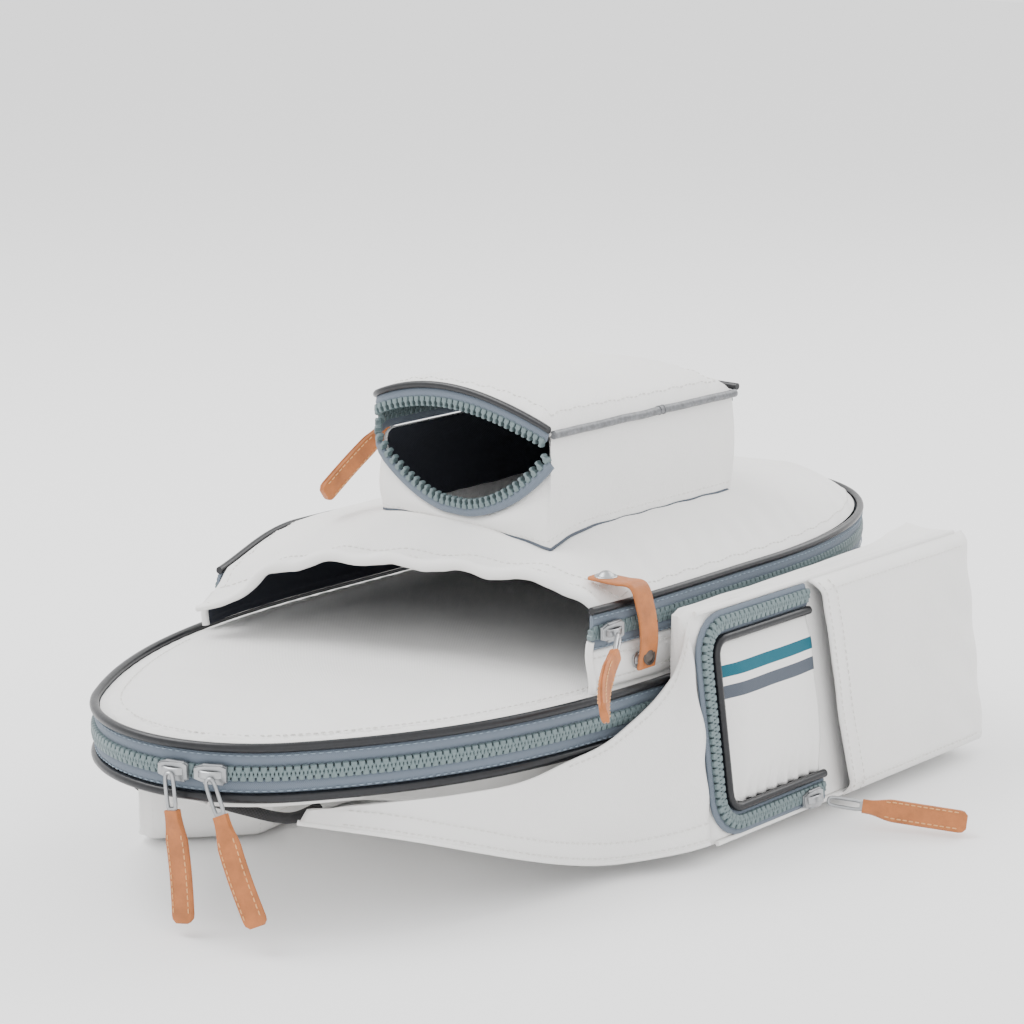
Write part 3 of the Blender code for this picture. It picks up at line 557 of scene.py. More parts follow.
def tooth_template():
    """One moulded tooth: X along the zipper, Y off the bag, Z from the tape to its head."""
    rings = [
        (-0.0034, 0.00105, 0.0011),
        (-0.0031, 0.00140, 0.0016),
        (-0.0013, 0.00142, 0.0019),
        (-0.0008, 0.00088, 0.0019),
        (0.0002, 0.00066, 0.0018),
        (0.0007, 0.00094, 0.0018),
        (0.0014, 0.00094, 0.0016),
        (0.0017, 0.00060, 0.0010),
    ]
    verts, faces = [], []
    for z, x, y in rings:
        cut = 0.00035
        verts += [
            (-x + cut, -y, z),
            (x - cut, -y, z),
            (x, -y + cut, z),
            (x, y - cut, z),
            (x - cut, y, z),
            (-x + cut, y, z),
            (-x, y - cut, z),
            (-x, -y + cut, z),
        ]
    for j in range(len(rings) - 1):
        for i in range(8):
            k = (i + 1) % 8
            faces.append((8 * j + i, 8 * j + k, 8 * j + 8 + k, 8 * j + 8 + i))
    faces.append(tuple(range(7, -1, -1)))
    faces.append(tuple(range(8 * len(rings) - 8, 8 * len(rings))))
    return verts, faces


def stitch_template():
    """A thread dash along X with tapering ends that dip into the cloth."""
    half, thin = STITCH_LONG / 2, THREAD
    verts, faces = [], []
    rings = [(-half, 0.3, -0.8), (-half * 0.6, 1.0, 0.2), (half * 0.6, 1.0, 0.2), (half, 0.3, -0.8)]
    for x, size, dip in rings:
        for k in range(6):
            angle = 2 * math.pi * k / 6
            verts.append((x, math.cos(angle) * thin * size, (math.sin(angle) * size + dip) * thin))
    for j in range(3):
        for i in range(6):
            k = (i + 1) % 6
            faces.append((6 * j + i, 6 * j + k, 6 * j + 6 + k, 6 * j + 6 + i))
    faces.append(tuple(range(5, -1, -1)))
    faces.append(tuple(range(18, 24)))
    return verts, faces


TOOTH = tooth_template()
STITCH = stitch_template()


def place_matrix(point, along, up):
    """X along, Z as near up as it can be, at point."""
    x = Vector(along).normalized()
    y = Vector(up).cross(x).normalized()
    z = x.cross(y)
    return Matrix.Translation(point) @ Matrix((x, y, z)).transposed().to_4x4()


def add_teeth(shape, frames, sign, phase, look=0):
    """A row of teeth whose heads point across the zipper. frames run at steps of TOOTH_PITCH."""
    for i in range(len(frames) - 1):
        point, out, up, _ = frames[i]
        following = frames[i + 1]
        spot = point.lerp(following[0], phase)
        head = up * (-sign)
        side = head.cross(out).normalized()
        turn = Matrix((side, out, head)).transposed().to_4x4()
        shape.solid(TOOTH, Matrix.Translation(spot) @ turn, look)


def add_band(shape, frames, low, high, near, far, bulge=0.0, look=0):
    """A strip: low to high upwards, near to far outwards."""
    cut = min(0.0006, (far - near) / 3)
    section = [
        (near, low),
        (far - cut, low),
        (far, low + cut),
        (far + bulge, (low + high) / 2),
        (far, high - cut),
        (far - cut, high),
        (near, high),
    ]
    rows = [[point + out * a + up * b for a, b in section] for point, out, up, _ in frames]
    return shape.grid(rows, around=True, caps=True, look=look)


def add_tube(shape, frames, radius, sides=12, look=0, flat=1.0):
    rows = []
    for i, (point, out, up, _) in enumerate(frames):
        r = radius(i / (len(frames) - 1)) if callable(radius) else radius
        row = []
        for k in range(sides):
            angle = 2 * math.pi * k / sides
            row.append(point + out * (math.cos(angle) * r * flat) + up * (math.sin(angle) * r))
        rows.append(row)
    return shape.grid(rows, around=True, caps=True, look=look)


def add_stitches(shape, points, normal_of, look=0):
    """Thread dashes along a line of points; normal_of gives the cloth's normal at a point."""
    dense = resample(points, STITCH_PITCH)
    for a, b in zip(dense, dense[1:]):
        middle = (a + b) / 2
        normal = normal_of(middle) if callable(normal_of) else Vector(normal_of)
        shape.solid(STITCH, place_matrix(middle + normal * THREAD * 0.5, b - a, normal), look)


def add_wall_stitches(shape, points, turn=1.0):
    """Thread dashes from point to point along an upright wall; turn is -1 for a wall run backwards."""
    for a, b in chunks(points):
        if (a - b).length > 1e-6:
            normal = Vector((turn * (b - a).y, -turn * (b - a).x, 0.0)).normalized()
            shape.solid(STITCH, place_matrix((a + b) / 2, b - a, normal))


def ripple(point, scale, seed=0.0):
    return noise.noise(Vector((point[0] * scale, point[1] * scale, point[2] * scale + seed)))


# ---------------------------------------------------------------- materials


class Look:
    """A Principled material with short ways to add nodes."""

    def __init__(self, name, colour, roughness, metallic=0.0):
        self.material = bpy.data.materials.new(name)
        self.material.use_nodes = True
        self.tree = self.material.node_tree
        self.shader = self.tree.nodes["Principled BSDF"]
        self.shader.inputs["Base Color"].default_value = (*colour, 1.0)
        self.shader.inputs["Roughness"].default_value = roughness
        self.shader.inputs["Metallic"].default_value = metallic
        self.material.diffuse_color = (*colour, 1.0)
        self.coords = self.tree.nodes.new("ShaderNodeTexCoord")

    def math(self, operation, a, b=0.0, c=None):
        node = self.tree.nodes.new("ShaderNodeMath")
        node.operation = operation
        for slot, value in zip(node.inputs, (a, b) if c is None else (a, b, c)):
            if isinstance(value, (int, float)):
                slot.default_value = value
            else:
                self.tree.links.new(value, slot)
        return node.outputs[0]

    def split(self, kind="UV"):
        node = self.tree.nodes.new("ShaderNodeSeparateXYZ")
        self.tree.links.new(self.coords.outputs[kind], node.inputs[0])
        return node.outputs

    def noise(self, scale, detail=2.0, rough=0.5, kind="Object", stretch=None):
        node = self.tree.nodes.new("ShaderNodeTexNoise")
        node.inputs["Scale"].default_value = scale
        node.inputs["Detail"].default_value = detail
        node.inputs["Roughness"].default_value = rough
        source = self.coords.outputs[kind]
        if stretch:
            mapping = self.tree.nodes.new("ShaderNodeMapping")
            mapping.inputs["Scale"].default_value = stretch
            self.tree.links.new(source, mapping.inputs["Vector"])
            source = mapping.outputs[0]
        self.tree.links.new(source, node.inputs["Vector"])
        return node.outputs["Fac"]

    def voronoi(self, scale, kind="Object"):
        node = self.tree.nodes.new("ShaderNodeTexVoronoi")
        node.inputs["Scale"].default_value = scale
        self.tree.links.new(self.coords.outputs[kind], node.inputs["Vector"])
        return node.outputs["Distance"]

    def wave(self, value, pitch, phase=0.0):
        """Sine of a coordinate with a pitch in metres, from -1 to 1."""
        return self.math("SINE", self.math("MULTIPLY_ADD", value, 2 * math.pi / pitch, phase))

    def colours(self, factor, low, high, start=0.0, end=1.0):
        ramp = self.tree.nodes.new("ShaderNodeValToRGB")
        ramp.color_ramp.elements[0].position = start
        ramp.color_ramp.elements[0].color = (*low, 1.0)
        ramp.color_ramp.elements[1].position = end
        ramp.color_ramp.elements[1].color = (*high, 1.0)
        self.tree.links.new(factor, ramp.inputs[0])
        self.tree.links.new(ramp.outputs[0], self.shader.inputs["Base Color"])

    def roughness(self, factor, low, high):
        spread = self.math("MULTIPLY_ADD", factor, high - low, low)
        self.tree.links.new(spread, self.shader.inputs["Roughness"])

    def bump(self, *layers):
        """Layers of (height, distance, strength), stacked."""
        normal = None
        for height, distance, strength in layers:
            node = self.tree.nodes.new("ShaderNodeBump")
            node.inputs["Distance"].default_value = distance
            node.inputs["Strength"].default_value = strength
            self.tree.links.new(height, node.inputs["Height"])
            if normal:
                self.tree.links.new(normal, node.inputs["Normal"])
            normal = node.outputs[0]
        self.tree.links.new(normal, self.shader.inputs["Normal"])


def tint(colour, factor):
    return tuple(min(channel * factor, 1.0) for channel in colour)


def woven(name, colour, roughness=0.78, pitch=WEAVE_PITCH, depth=0.5, spread=0.06, sheen=0.15):
    """Plain weave: threads over and under each other, with soft creases and uneven dye."""
    look = Look(name, colour, roughness)
    u, v, _ = look.split("UV")
    warp, weft = look.wave(u, pitch), look.wave(v, pitch)
    weave = look.math("MULTIPLY_ADD", look.math("MULTIPLY", warp, weft), 0.5, 0.5)
    patches = look.noise(22.0, 3.0)
    shade = look.math("MULTIPLY_ADD", weave, 0.35, look.math("MULTIPLY", patches, 0.65))
    look.colours(shade, tint(colour, 1.0 - spread), tint(colour, 1.0 + spread / 2), 0.2, 0.8)
    look.roughness(patches, roughness - 0.06, roughness + 0.08)
    look.bump((weave, 0.00022, depth), (look.noise(85.0, 4.0, 0.6), 0.0009, 0.28))
    look.shader.inputs["Sheen Weight"].default_value = sheen
    return look.material


def tape_look(name, colour):
    """Zipper tape: a fine herringbone of threads along the tape."""
    look = Look(name, colour, 0.72)
    u, v, _ = look.split("UV")
    zigzag = look.math("PINGPONG", u, 0.0012)
    ribs = look.wave(look.math("ADD", v, zigzag), 0.0009)
    level = look.math("MULTIPLY_ADD", ribs, 0.5, 0.5)
    look.colours(level, tint(colour, 0.82), tint(colour, 1.22))
    look.bump((level, 0.0002, 0.55), (look.noise(240.0, 2.0), 0.0003, 0.2))
    look.shader.inputs["Sheen Weight"].default_value = 0.1
    return look.material


def moulded(name, colour, roughness, grain=900.0):
    look = Look(name, colour, roughness)
    speckle = look.noise(grain, 3.0)
    look.colours(speckle, tint(colour, 0.88), tint(colour, 1.12), 0.3, 0.7)
    look.roughness(speckle, roughness - 0.08, roughness + 0.10)
    look.bump((speckle, 0.00012, 0.25))
    return look.material


def vinyl_cord(name, colour):
    """Glossy piping: coated cloth pulled tight over a cord."""
    look = Look(name, colour, 0.30)
    creases = look.noise(420.0, 3.0, 0.6)
    look.colours(creases, tint(colour, 0.8), tint(colour, 1.9), 0.35, 0.8)
    look.roughness(creases, 0.24, 0.42)
    look.bump((creases, 0.00035, 0.3))
    look.shader.inputs["Specular IOR Level"].default_value = 0.40
    look.shader.inputs["Coat Weight"].default_value = 0.10
    look.shader.inputs["Coat Roughness"].default_value = 0.25
    return look.material


def cast_metal(name, colour):
    look = Look(name, colour, 0.34, 0.95)
    grain = look.noise(1400.0, 2.0)
    wear = look.noise(160.0, 4.0, 0.6)
    look.colours(wear, tint(colour, 0.84), tint(colour, 1.10), 0.35, 0.7)
    look.roughness(wear, 0.26, 0.46)
    look.bump((grain, 0.00006, 0.25))
    return look.material


def hide(name, colour):
    """Tan leather: pores, fine creases and darker and lighter patches at random."""
    look = Look(name, colour, 0.5)
    patches = look.noise(120.0, 4.0, 0.6)
    pores = look.voronoi(1500.0)
    look.colours(patches, tint(colour, 0.78), tint(colour, 1.22), 0.3, 0.72)
    look.roughness(patches, 0.42, 0.62)
    look.bump((pores, 0.00022, 0.45), (look.noise(700.0, 3.0), 0.0003, 0.3))
    look.shader.inputs["Specular IOR Level"].default_value = 0.45
    return look.material


def webbing_look(name, colour):
    look = Look(name, colour, 0.8)
    u, v, _ = look.split("UV")
    ribs = look.math("MULTIPLY", look.wave(u, 0.0016), look.wave(v, 0.0013))
    level = look.math("MULTIPLY_ADD", ribs, 0.5, 0.5)
    look.colours(level, tint(colour, 0.6), tint(colour, 1.8))
    look.bump((level, 0.0004, 0.6))
    return look.material


def spacer_mesh(name, colour):
    """Air mesh: rows of small holes."""
    look = Look(name, colour, 0.85)
    u, v, _ = look.split("UV")
    holes = look.math("MULTIPLY", look.wave(u, 0.0032), look.wave(v, 0.0026))
    level = look.math("MULTIPLY_ADD", holes, 0.5, 0.5)
    look.colours(level, tint(colour, 0.35), tint(colour, 1.1), 0.2, 0.55)
    look.bump((level, 0.0008, 0.8))
    return look.material


WHITE = (0.86, 0.852, 0.835)
SLATE = (0.120, 0.150, 0.190)
fabric = woven("white_weave", WHITE)
lining = woven("dark_lining", (0.022, 0.026, 0.038), 0.8, 0.0012, 0.4, 0.2, 0.05)
teal_cloth = woven("teal_stripe", (0.002, 0.105, 0.150), 0.8, spread=0.12, sheen=0.0)
slate_cloth = woven("slate_stripe", (0.075, 0.090, 0.115), 0.8, spread=0.12, sheen=0.0)
tape = tape_look("slate_tape", SLATE)
teeth = moulded("grey_green_teeth", (0.125, 0.170, 0.178), 0.45)
piping = vinyl_cord("black_piping", (0.0045, 0.005, 0.007))
grey_piping = vinyl_cord("grey_piping", (0.120, 0.124, 0.132))
webbing = webbing_look("black_webbing", (0.016, 0.016, 0.017))
plastic = moulded("black_plastic", (0.018, 0.018, 0.019), 0.45)
metal = cast_metal("satin_metal", (0.40, 0.41, 0.42))
dark_metal = cast_metal("dark_snap", (0.10, 0.085, 0.075))
leather = hide("tan_leather", (0.400, 0.130, 0.034))
thread = moulded("white_thread", (0.74, 0.73, 0.70), 0.7)
tan_thread = moulded("tan_thread", (0.62, 0.33, 0.14), 0.7)
slate_thread = moulded("slate_thread", (0.22, 0.28, 0.34), 0.7)
mesh_cloth = spacer_mesh("back_mesh", (0.42, 0.42, 0.42))


# ---------------------------------------------------------------- main compartment


def ease(t):
    return 0.5 * (1.0 - math.cos(math.pi * t))


def make_shell():
    """A shallow fabric tub: a U-shaped section carried along the bag, closed at both ends."""
    start, end, rows = 0.012, LENGTH - 0.002, []
    corner_steps, wall_steps, floor_steps = 6, 8, 28
    for j in range(91):
        y = start + (end - start) * ease(j / 90)
        wide = max(shell_half_width(y), 0.002)
        low_wide = wide * 0.95
        floor, top = shell_floor(y), SHELL_TOP
        round_off = min(0.014, (top - floor) * 0.6, low_wide * 0.6)
        half = []
        for k in range(wall_steps):
            t = k / wall_steps
            half.append((wide + (low_wide - wide) * t, top - (top - floor - round_off) * t))
        for k in range(corner_steps + 1):
            angle = 0.5 * math.pi * k / corner_steps
            half.append(
                (
                    low_wide - round_off + round_off * math.cos(angle),
                    floor + round_off - round_off * math.sin(angle),
                )
            )
        inner = low_wide - round_off
        row = [(-x, z) for x, z in half]
        row += [(-inner + 2 * inner * k / floor_steps, floor) for k in range(1, floor_steps)]
        row += half[::-1]
        placed = []
        for x, z in row:
            sag = 0.0007 * ripple((x, y, z), 28.0, 3.0)
            push = 0.0009 * ripple((x, y, z), 60.0) * smoothstep(0.0, 0.012, top - z)
            placed.append((x + (push if x > 0 else -push) - 0.001 * (1 if x > 0 else -1), y, z + sag))
        rows.append(placed)
    shape = Shape().grid(rows)
    shell = put("shell_skin", shape, [fabric, lining], "bag", ["back_shell"], outward=False)
    turn_out(shell, (0, 0, -1))
    thicken(shell, FABRIC, inner_look=1)


def make_back_panel():
    low = STRAP_THICK + 2 * GAP
    rows = []
    for j in range(49):
        t = j / 48
        y = 0.205 + 0.245 * t
        bulge = 1.0 - abs(2.0 * t - 1.0) ** 4 * 0.18
        half = 0.088 * bulge
        ring = []
        for k in range(40):
            angle = 2 * math.pi * k / 40
            c, s = math.cos(angle), math.sin(angle)
            x = half * math.copysign(abs(c) ** 0.35, c)
            z = PANEL_THICK / 2 * math.copysign(abs(s) ** 0.6, s)
            channel = 1.0 - 0.35 * (abs(math.sin(3.0 * math.pi * (x / half + 1) / 2)) < 0.16)
            edge = min(1.0, 8.0 * min(t, 1.0 - t) + 0.15) ** 0.5
            ring.append((x * (0.97 + 0.03 * edge), y, low + PANEL_THICK / 2 + z * channel * edge))
        rows.append(ring)
    shape = Shape().grid(rows, around=True, caps=True)
    panel = put("back_pad", shape, mesh_cloth, "bag", ["back_panel"])


def left_strap_route():
    """Points and turns of the strap that hangs under the nose and folds back on the ground."""
    lay = STRAP_THICK / 2
    turn = math.radians(STRAP_TURN)
    forward = Vector((math.sin(turn), -math.cos(turn), 0.0))
    hanging = [
        (-0.0050, 0.0375),
        (0.0030, 0.0330),
        (0.0065, 0.0250),
        (0.0065, 0.0165),
        (0.0010, 0.0085),
        (-0.0080, lay + 0.0004),
    ]
    found = [(STRAP_FOLD + forward * reach + Vector((0, 0, z)), STRAP_TURN) for reach, z in hanging]
    lying = [
        (-0.0640, 0.112, 34.0),
        (-0.0680, 0.138, 20.0),
        (-0.0670, 0.166, 8.0),
        (-0.0610, 0.200, 0.0),
        (-0.0490, 0.270, 0.0),
        (STRAP_LEFT_X, 0.345, 0.0),
    ]
    return found + [(Vector((x, y, lay)), angle) for x, y, angle in lying]


def right_strap_route():
    """Points and turns of the strap that lies straight back from where it is sewn on."""
    lay = STRAP_THICK / 2
    profile = [
        (0.158, 0.0170),
        (0.169, 0.0155),
        (0.178, 0.0118),
        (0.187, 0.0073),
        (0.198, lay + 0.0001),
        (0.210, lay),
        (0.345, lay),
    ]
    return [(Vector((STRAP_RIGHT_X, y, z)), 0.0) for y, z in profile]


def strap_frames(route):
    """Frames along a strap: (point, across, out)."""
    dense = smooth_curve([(*point, turn / 100.0) for point, turn in route], 0.003)
    points = [Vector(value[:3]) for value in dense]
    found = []
    for value, point, along in zip(dense, points, tangents(points)):
        turn = math.radians(value[3] * 100.0)
        across = Vector((math.cos(turn), math.sin(turn), 0.0))
        found.append((point, across, along.cross(across).normalized()))
    return found


def make_straps():
    """Padded straps with a flat sewn rim, a seam down each side and soft creases."""
    for side, x, route in (
        ("left", STRAP_LEFT_X, left_strap_route()),
        ("right", STRAP_RIGHT_X, right_strap_route()),
    ):
        frames = strap_frames(route)
        last = len(frames) - 1
        rows = []
        seams = Shape()
        lines = {(way, level): [] for way in (-1, 1) for level in (-1, 1)}
        for i, (point, across, out) in enumerate(frames):
            t = i / last
            taper = 1.0 - 0.35 * smoothstep(0.93, 1.0, t)
            row = []
            for k in range(36):
                angle = 2 * math.pi * k / 36
                c, s = math.cos(angle), math.sin(angle)
                wide = math.copysign(abs(c) ** 0.25, c)
                rim = 1.0 - 0.45 * smoothstep(0.80, 0.93, abs(wide))
                thick = math.copysign(abs(s) ** 0.7, s) * rim
                crease = 0.0008 * noise.noise(Vector((wide * 2.0, t * 24.0, x * 50)))
                crease *= 0.0 if point.z < 0.006 and s < 0 else 1.0
                lift = STRAP_THICK / 2 * thick * 0.97
                row.append(point + across * (wide * STRAP_WIDTH / 2 * taper) + out * (lift + crease))
            rows.append(row)
            for (way, level), line in lines.items():
                aside = way * (STRAP_WIDTH / 2 * taper - 0.0065)
                raised = level * STRAP_THICK / 2 * 0.80
                line.append((point + across * aside + out * raised, out * level))
        shape = Shape().grid(rows, around=True, caps=True)
        strap = put("strap_pad_" + side, shape, fabric, "bag", ["shoulder_strap_" + side])
        for line in lines.values():
            for (a, normal), (b, _) in zip(line, line[1:]):
                if (a + b).z / 2 > 0.0016:
                    seams.solid(STITCH, place_matrix((a + b) / 2, b - a, normal))
        put("strap_seams_" + side, seams, thread, "bag")
        make_adjuster(side, x)


def make_adjuster(side, x):
    """Ladder-lock buckle: two rails and three bars."""
    shape = Shape()
    rail = rounded_box((0.0036, 0.024, 0.0062), 0.0009)
    bar = rounded_box((0.030, 0.0036, 0.0040), 0.0010)
    for way in (-1, 1):
        shape.solid(rail, Matrix.Translation((x + way * 0.0150, 0.3600, 0.0036)))
    for offset in (-0.0100, 0.0000, 0.0100):
        shape.solid(bar, Matrix.Translation((x, 0.3600 + offset, 0.0040)))
    put("ladder_lock_" + side, shape, plastic, "bag", ["strap_adjuster_" + side])
    route = [(x, 0.3685), (x, 0.3760), (x * 1.2, 0.400), (x * 1.6, 0.440)]
    web = smooth_curve([(across, y, 0.0040) for across, y in route], 0.004)
    half = [(-1, -0.4), (-0.96, -1), (0, -1), (0.96, -1), (1, -0.4)]
    section = half + [(-a, -b) for a, b in half]
    ribbon = Shape()
    rows = []
    for point, along in zip(web, tangents(web)):
        across = Vector((along.y, -along.x, 0.0)).normalized()
        rows.append([point + across * (a * 0.0122) + Vector((0, 0, b * 0.0009)) for a, b in section])
    ribbon.grid(rows, around=True, caps=True)
    put("strap_web_" + side, ribbon, webbing, "bag", ["strap_webbing_" + side])


def make_haul_loop():
    route = [
        (-0.0840, 0.084, 0.0160),
        (-0.0815, 0.068, 0.0290),
        (-0.0755, 0.050, 0.0420),
        (-0.056, 0.036, 0.0490),
        (-0.020, 0.026, 0.0515),
        (0.020, 0.026, 0.0515),
        (0.036, 0.030, 0.0500),
        (0.044, 0.040, 0.0460),
        (0.045, 0.052, 0.0430),
        (0.045, 0.066, 0.0440),
    ]
    frames = curve_frames(smooth_curve(route, 0.003), (0, 0, 1))
    shape = add_tube(Shape(), frames, 0.0030, 16, flat=0.85)
    put("carry_loop", shape, webbing, "bag", ["haul_loop"])


def make_main_zipper(side, body):
    sign = -1.0 if side == "lower" else 1.0
    path = round_nose_path(ZIP_END_Y)
    frames = plan_frames(path, MAIN_SPLIT, step=TOOTH_PITCH)
    near = TOOTH_HALF + GAP - ZIP_LAP
    far = TOOTH_HALF + GAP + TAPE_HIGH
    low, high = sorted((sign * near, sign * far))
    strip = add_band(Shape(), frames, low, high, -0.0020, -0.0004, 0.0006)
    put("main_tape_skin_" + side, strip, tape, body, ["main_tape_" + side])
    row = Shape()
    add_teeth(row, frames, sign, 0.0 if side == "lower" else 0.5)
    put("main_teeth_row_" + side, row, teeth, body, ["main_teeth_" + side], 30.0)
    cord_height = MAIN_SPLIT + sign * (far + MAIN_PIPING)
    cord = plan_frames(path, cord_height, step=0.004)
    tube = add_tube(Shape(), cord, MAIN_PIPING, 14)
    put("main_cord_" + side, tube, piping, body, ["main_piping_" + side])
    seam = Shape()
    line = [point + up * (sign * (far - 0.0012)) + out * 0.0001 for point, out, up, _ in frames]
    add_wall_stitches(seam, line)
    put("main_tape_seam_" + side, seam, slate_thread, body, ())


def make_hinge_gusset():
    path = round_head_path(ZIP_END_Y + 0.002, ZIP_END_Y + 0.002)
    path = [point for point in path if point[1] >= ZIP_END_Y + 0.001]
    frames = plan_frames(path, SHELL_TOP, step=0.004)
    rows = []
    for point, out, up, _ in frames:
        row = []
        for k in range(11):
            t = k / 10
            puff = 0.0012 * math.sin(math.pi * t) + 0.0006 * ripple(point, 90.0, t * 2)
            row.append(point + up * (t * (MAIN_SPLIT - SHELL_TOP)) + out * (puff - 0.0012))
        rows.append(row)
    sheet = Shape().grid(rows)
    gusset = put("bottom_gusset", sheet, fabric, "bag", ["hinge_gusset"], outward=False)
    thicken(gusset, FABRIC, 0.0)


# ---------------------------------------------------------------- front and racket pocket


def make_front_panel():
    """The nose's top and the racket pocket's floor: taut cloth that dips beside its piping."""
    start, end = 0.0042, LENGTH - 0.0040
    top, bottom = [], []
    columns, lines = 72, 130
    for j in range(lines + 1):
        y = start + (end - start) * ease(j / lines)
        wide = max(inset_width(y, 0.0026), 0.004)
        over, under = [], []
        for i in range(columns + 1):
            side = -math.cos(math.pi * i / columns)
            x = wide * side
            edge = wide * (1.0 - abs(side))
            edge = min(edge, y - start + 0.0006, end - y + 0.0006)
            inner = smoothstep(0.0, 0.010, edge)
            seam = math.exp(-(((edge - 0.0095) / 0.0016) ** 2))
            crown = 0.0026 * smoothstep(0.0, 0.05, edge) * (1.0 - smoothstep(0.40, 0.46, y))
            arc = math.atan2(x, NOSE_RADIUS - y) * NOSE_RADIUS if y < NOSE_RADIUS else y
            pucker = 0.00045 * math.sin(arc * 2 * math.pi / 0.0105 + 2.5 * ripple((x, y, 0), 30.0))
            pucker *= math.exp(-(((edge - 0.012) / 0.009) ** 2))
            soft = 0.0008 * ripple((x, y, 0.0), 24.0, 5.0) * smoothstep(0.01, 0.04, edge)
            z = FRONT_TOP - 0.0020 + 0.0022 * inner + crown - 0.0011 * seam + pucker + soft
            over.append((x, y, z))
            under.append((x, y, MAIN_SPLIT + 0.0008))
        top.append(over)
        bottom.append(under)
    shape = Shape().grid(top, look=0).grid(bottom, look=1)
    wide = columns + 1
    last = lines * wide
    offset = len(top) * wide
    rim = list(range(wide)) + [j * wide + columns for j in range(1, lines + 1)]
    rim += [last + columns - i for i in range(1, wide)] + [(lines - j) * wide for j in range(1, lines)]
    for a, b in zip(rim, rim[1:] + rim[:1]):
        face = (a, b, offset + b, offset + a)
        shape.faces.append(face)
        shape.looks.append(0)
        corners = [shape.verts[v] for v in face]
        shape.uvs.append(tuple((x + z, y) for x, y, z in corners))
    put("front_skin", shape, [fabric, lining], "front", ["front_panel"], angle=50.0)
    seam = Shape()
    right = [(inset_width(y, 0.0122), y) for y in (0.0122 + 0.35 * ease(k / 160) for k in range(1, 161))]
    line = [Vector((-x, y, FRONT_TOP + 0.0006)) for x, y in right[::-1]]
    line += [Vector((x, y, FRONT_TOP + 0.0006)) for x, y in right]
    line = [point for point in line if point.y < mouth_y(-1.0 if point.x < 0 else 1.0) - 0.004]
    add_stitches(seam, line, (0, 0, 1))
    put("front_seam", seam, thread, "front")


def gusset_path():
    return round_head_path(GUSSET_RIGHT_Y, GUSSET_LEFT_Y)


def slump(point):
    """The pocket's left corner is loose by the mouth, so it sinks and leans inwards there."""
    point = Vector(point)
    if point.x > 0.0:
        return point
    share = 1.0 - smoothstep(0.128, 0.215, point.y)
    share *= smoothstep(0.02, 0.09, -point.x) * smoothstep(GUSSET_LOW, COVER_EDGE, point.z)
    return point + Vector((0.0110 * share, 0.0, -0.0100 * share))


def make_racket_gusset():
    tape_low = RACKET_SPLIT - TOOTH_HALF - GAP - RACKET_TAPE
    frames = plan_frames(gusset_path(), GUSSET_LOW, -RACKET_INSET, 0.003)
    rows = []
    high = tape_low - GUSSET_LOW
    for point, out, up, _ in frames:
        row = []
        for k in range(15):
            t = k / 14
            groove = sum(math.exp(-(((t - seam) / 0.05) ** 2)) for seam in GUSSET_SEAMS)
            puff = 0.0016 * math.sin(math.pi * t) ** 0.6 - 0.0007 * groove
            wave = 0.0011 * ripple((point.x, point.y, t * 0.02), 45.0, 1.0) * math.sin(math.pi * t)
            row.append(point + up * (t * high) + out * (puff + wave - 0.0004))
        rows.append(row)
    sheet = Shape().grid(rows)
    gusset = put("racket_gusset", sheet, [fabric, lining], "front", ["pocket_gusset"], outward=False)
    turn_out(gusset, (0, 1, 0))
    thicken(gusset, FABRIC, inner_look=1)
    seams = Shape()
    for t in GUSSET_SEAMS:
        line = [point + up * (t * high) + out * 0.0008 for point, out, up, _ in frames]
        add_wall_stitches(seams, resample(line, STITCH_PITCH))
    put("racket_gusset_seams", seams, thread, "front")


def make_gusset_ends():
    """Rolled hems down the near ends of the racket pocket's gusset."""
    frames = plan_frames(gusset_path(), GUSSET_LOW, -RACKET_INSET, 0.003)
    for name, (point, out, up, along), way in (("right", frames[0], 1), ("left", frames[-1], -1)):
        line = []
        for k in range(15):
            t = k / 14
            height = (RACKET_SPLIT - 0.004 - GUSSET_LOW) * t
            sway = 0.0012 * math.sin(5.0 * t + way)
            line.append(point + up * height + out * (0.0006 + sway) - along * way * 0.0008)
        roll = add_tube(Shape(), curve_frames(line, out), 0.0019, 12)
        put("racket_gusset_end_" + name, roll, fabric, "front")


def make_racket_zipper():
    frames = plan_frames(gusset_path(), RACKET_SPLIT, -RACKET_INSET, TOOTH_PITCH)
    for side, sign, body in (("lower", -1.0, "front"), ("upper", 1.0, "cover")):
        near, far = TOOTH_HALF - ZIP_LAP, TOOTH_HALF + GAP + RACKET_TAPE
        low, high = sorted((sign * near, sign * far))
        strip = add_band(Shape(), frames, low, high, -0.0010, 0.0006, 0.0006)
        put("racket_tape_skin_" + side, strip, tape, body, ["racket_tape_" + side])
        row = Shape()
        add_teeth(row, frames, sign, 0.0 if sign < 0 else 0.5)
        put("racket_teeth_row_" + side, row, teeth, body, ["racket_teeth_" + side], 30.0)
        seam = Shape()
        line = [point + up * (sign * (far - 0.0010)) + out * 0.0012 for point, out, up, _ in frames]
        add_wall_stitches(seam, line)
        put("racket_tape_seam_" + side, seam, slate_thread, body, ())
    height = RACKET_SPLIT + TOOTH_HALF + 2 * GAP + RACKET_TAPE + COVER_PIPING
    cord = plan_frames(gusset_path(), height, -RACKET_INSET, 0.004)
    tube = add_tube(Shape(), cord, COVER_PIPING, 14)
    put("cover_cord", tube, piping, "cover", ["cover_piping"])


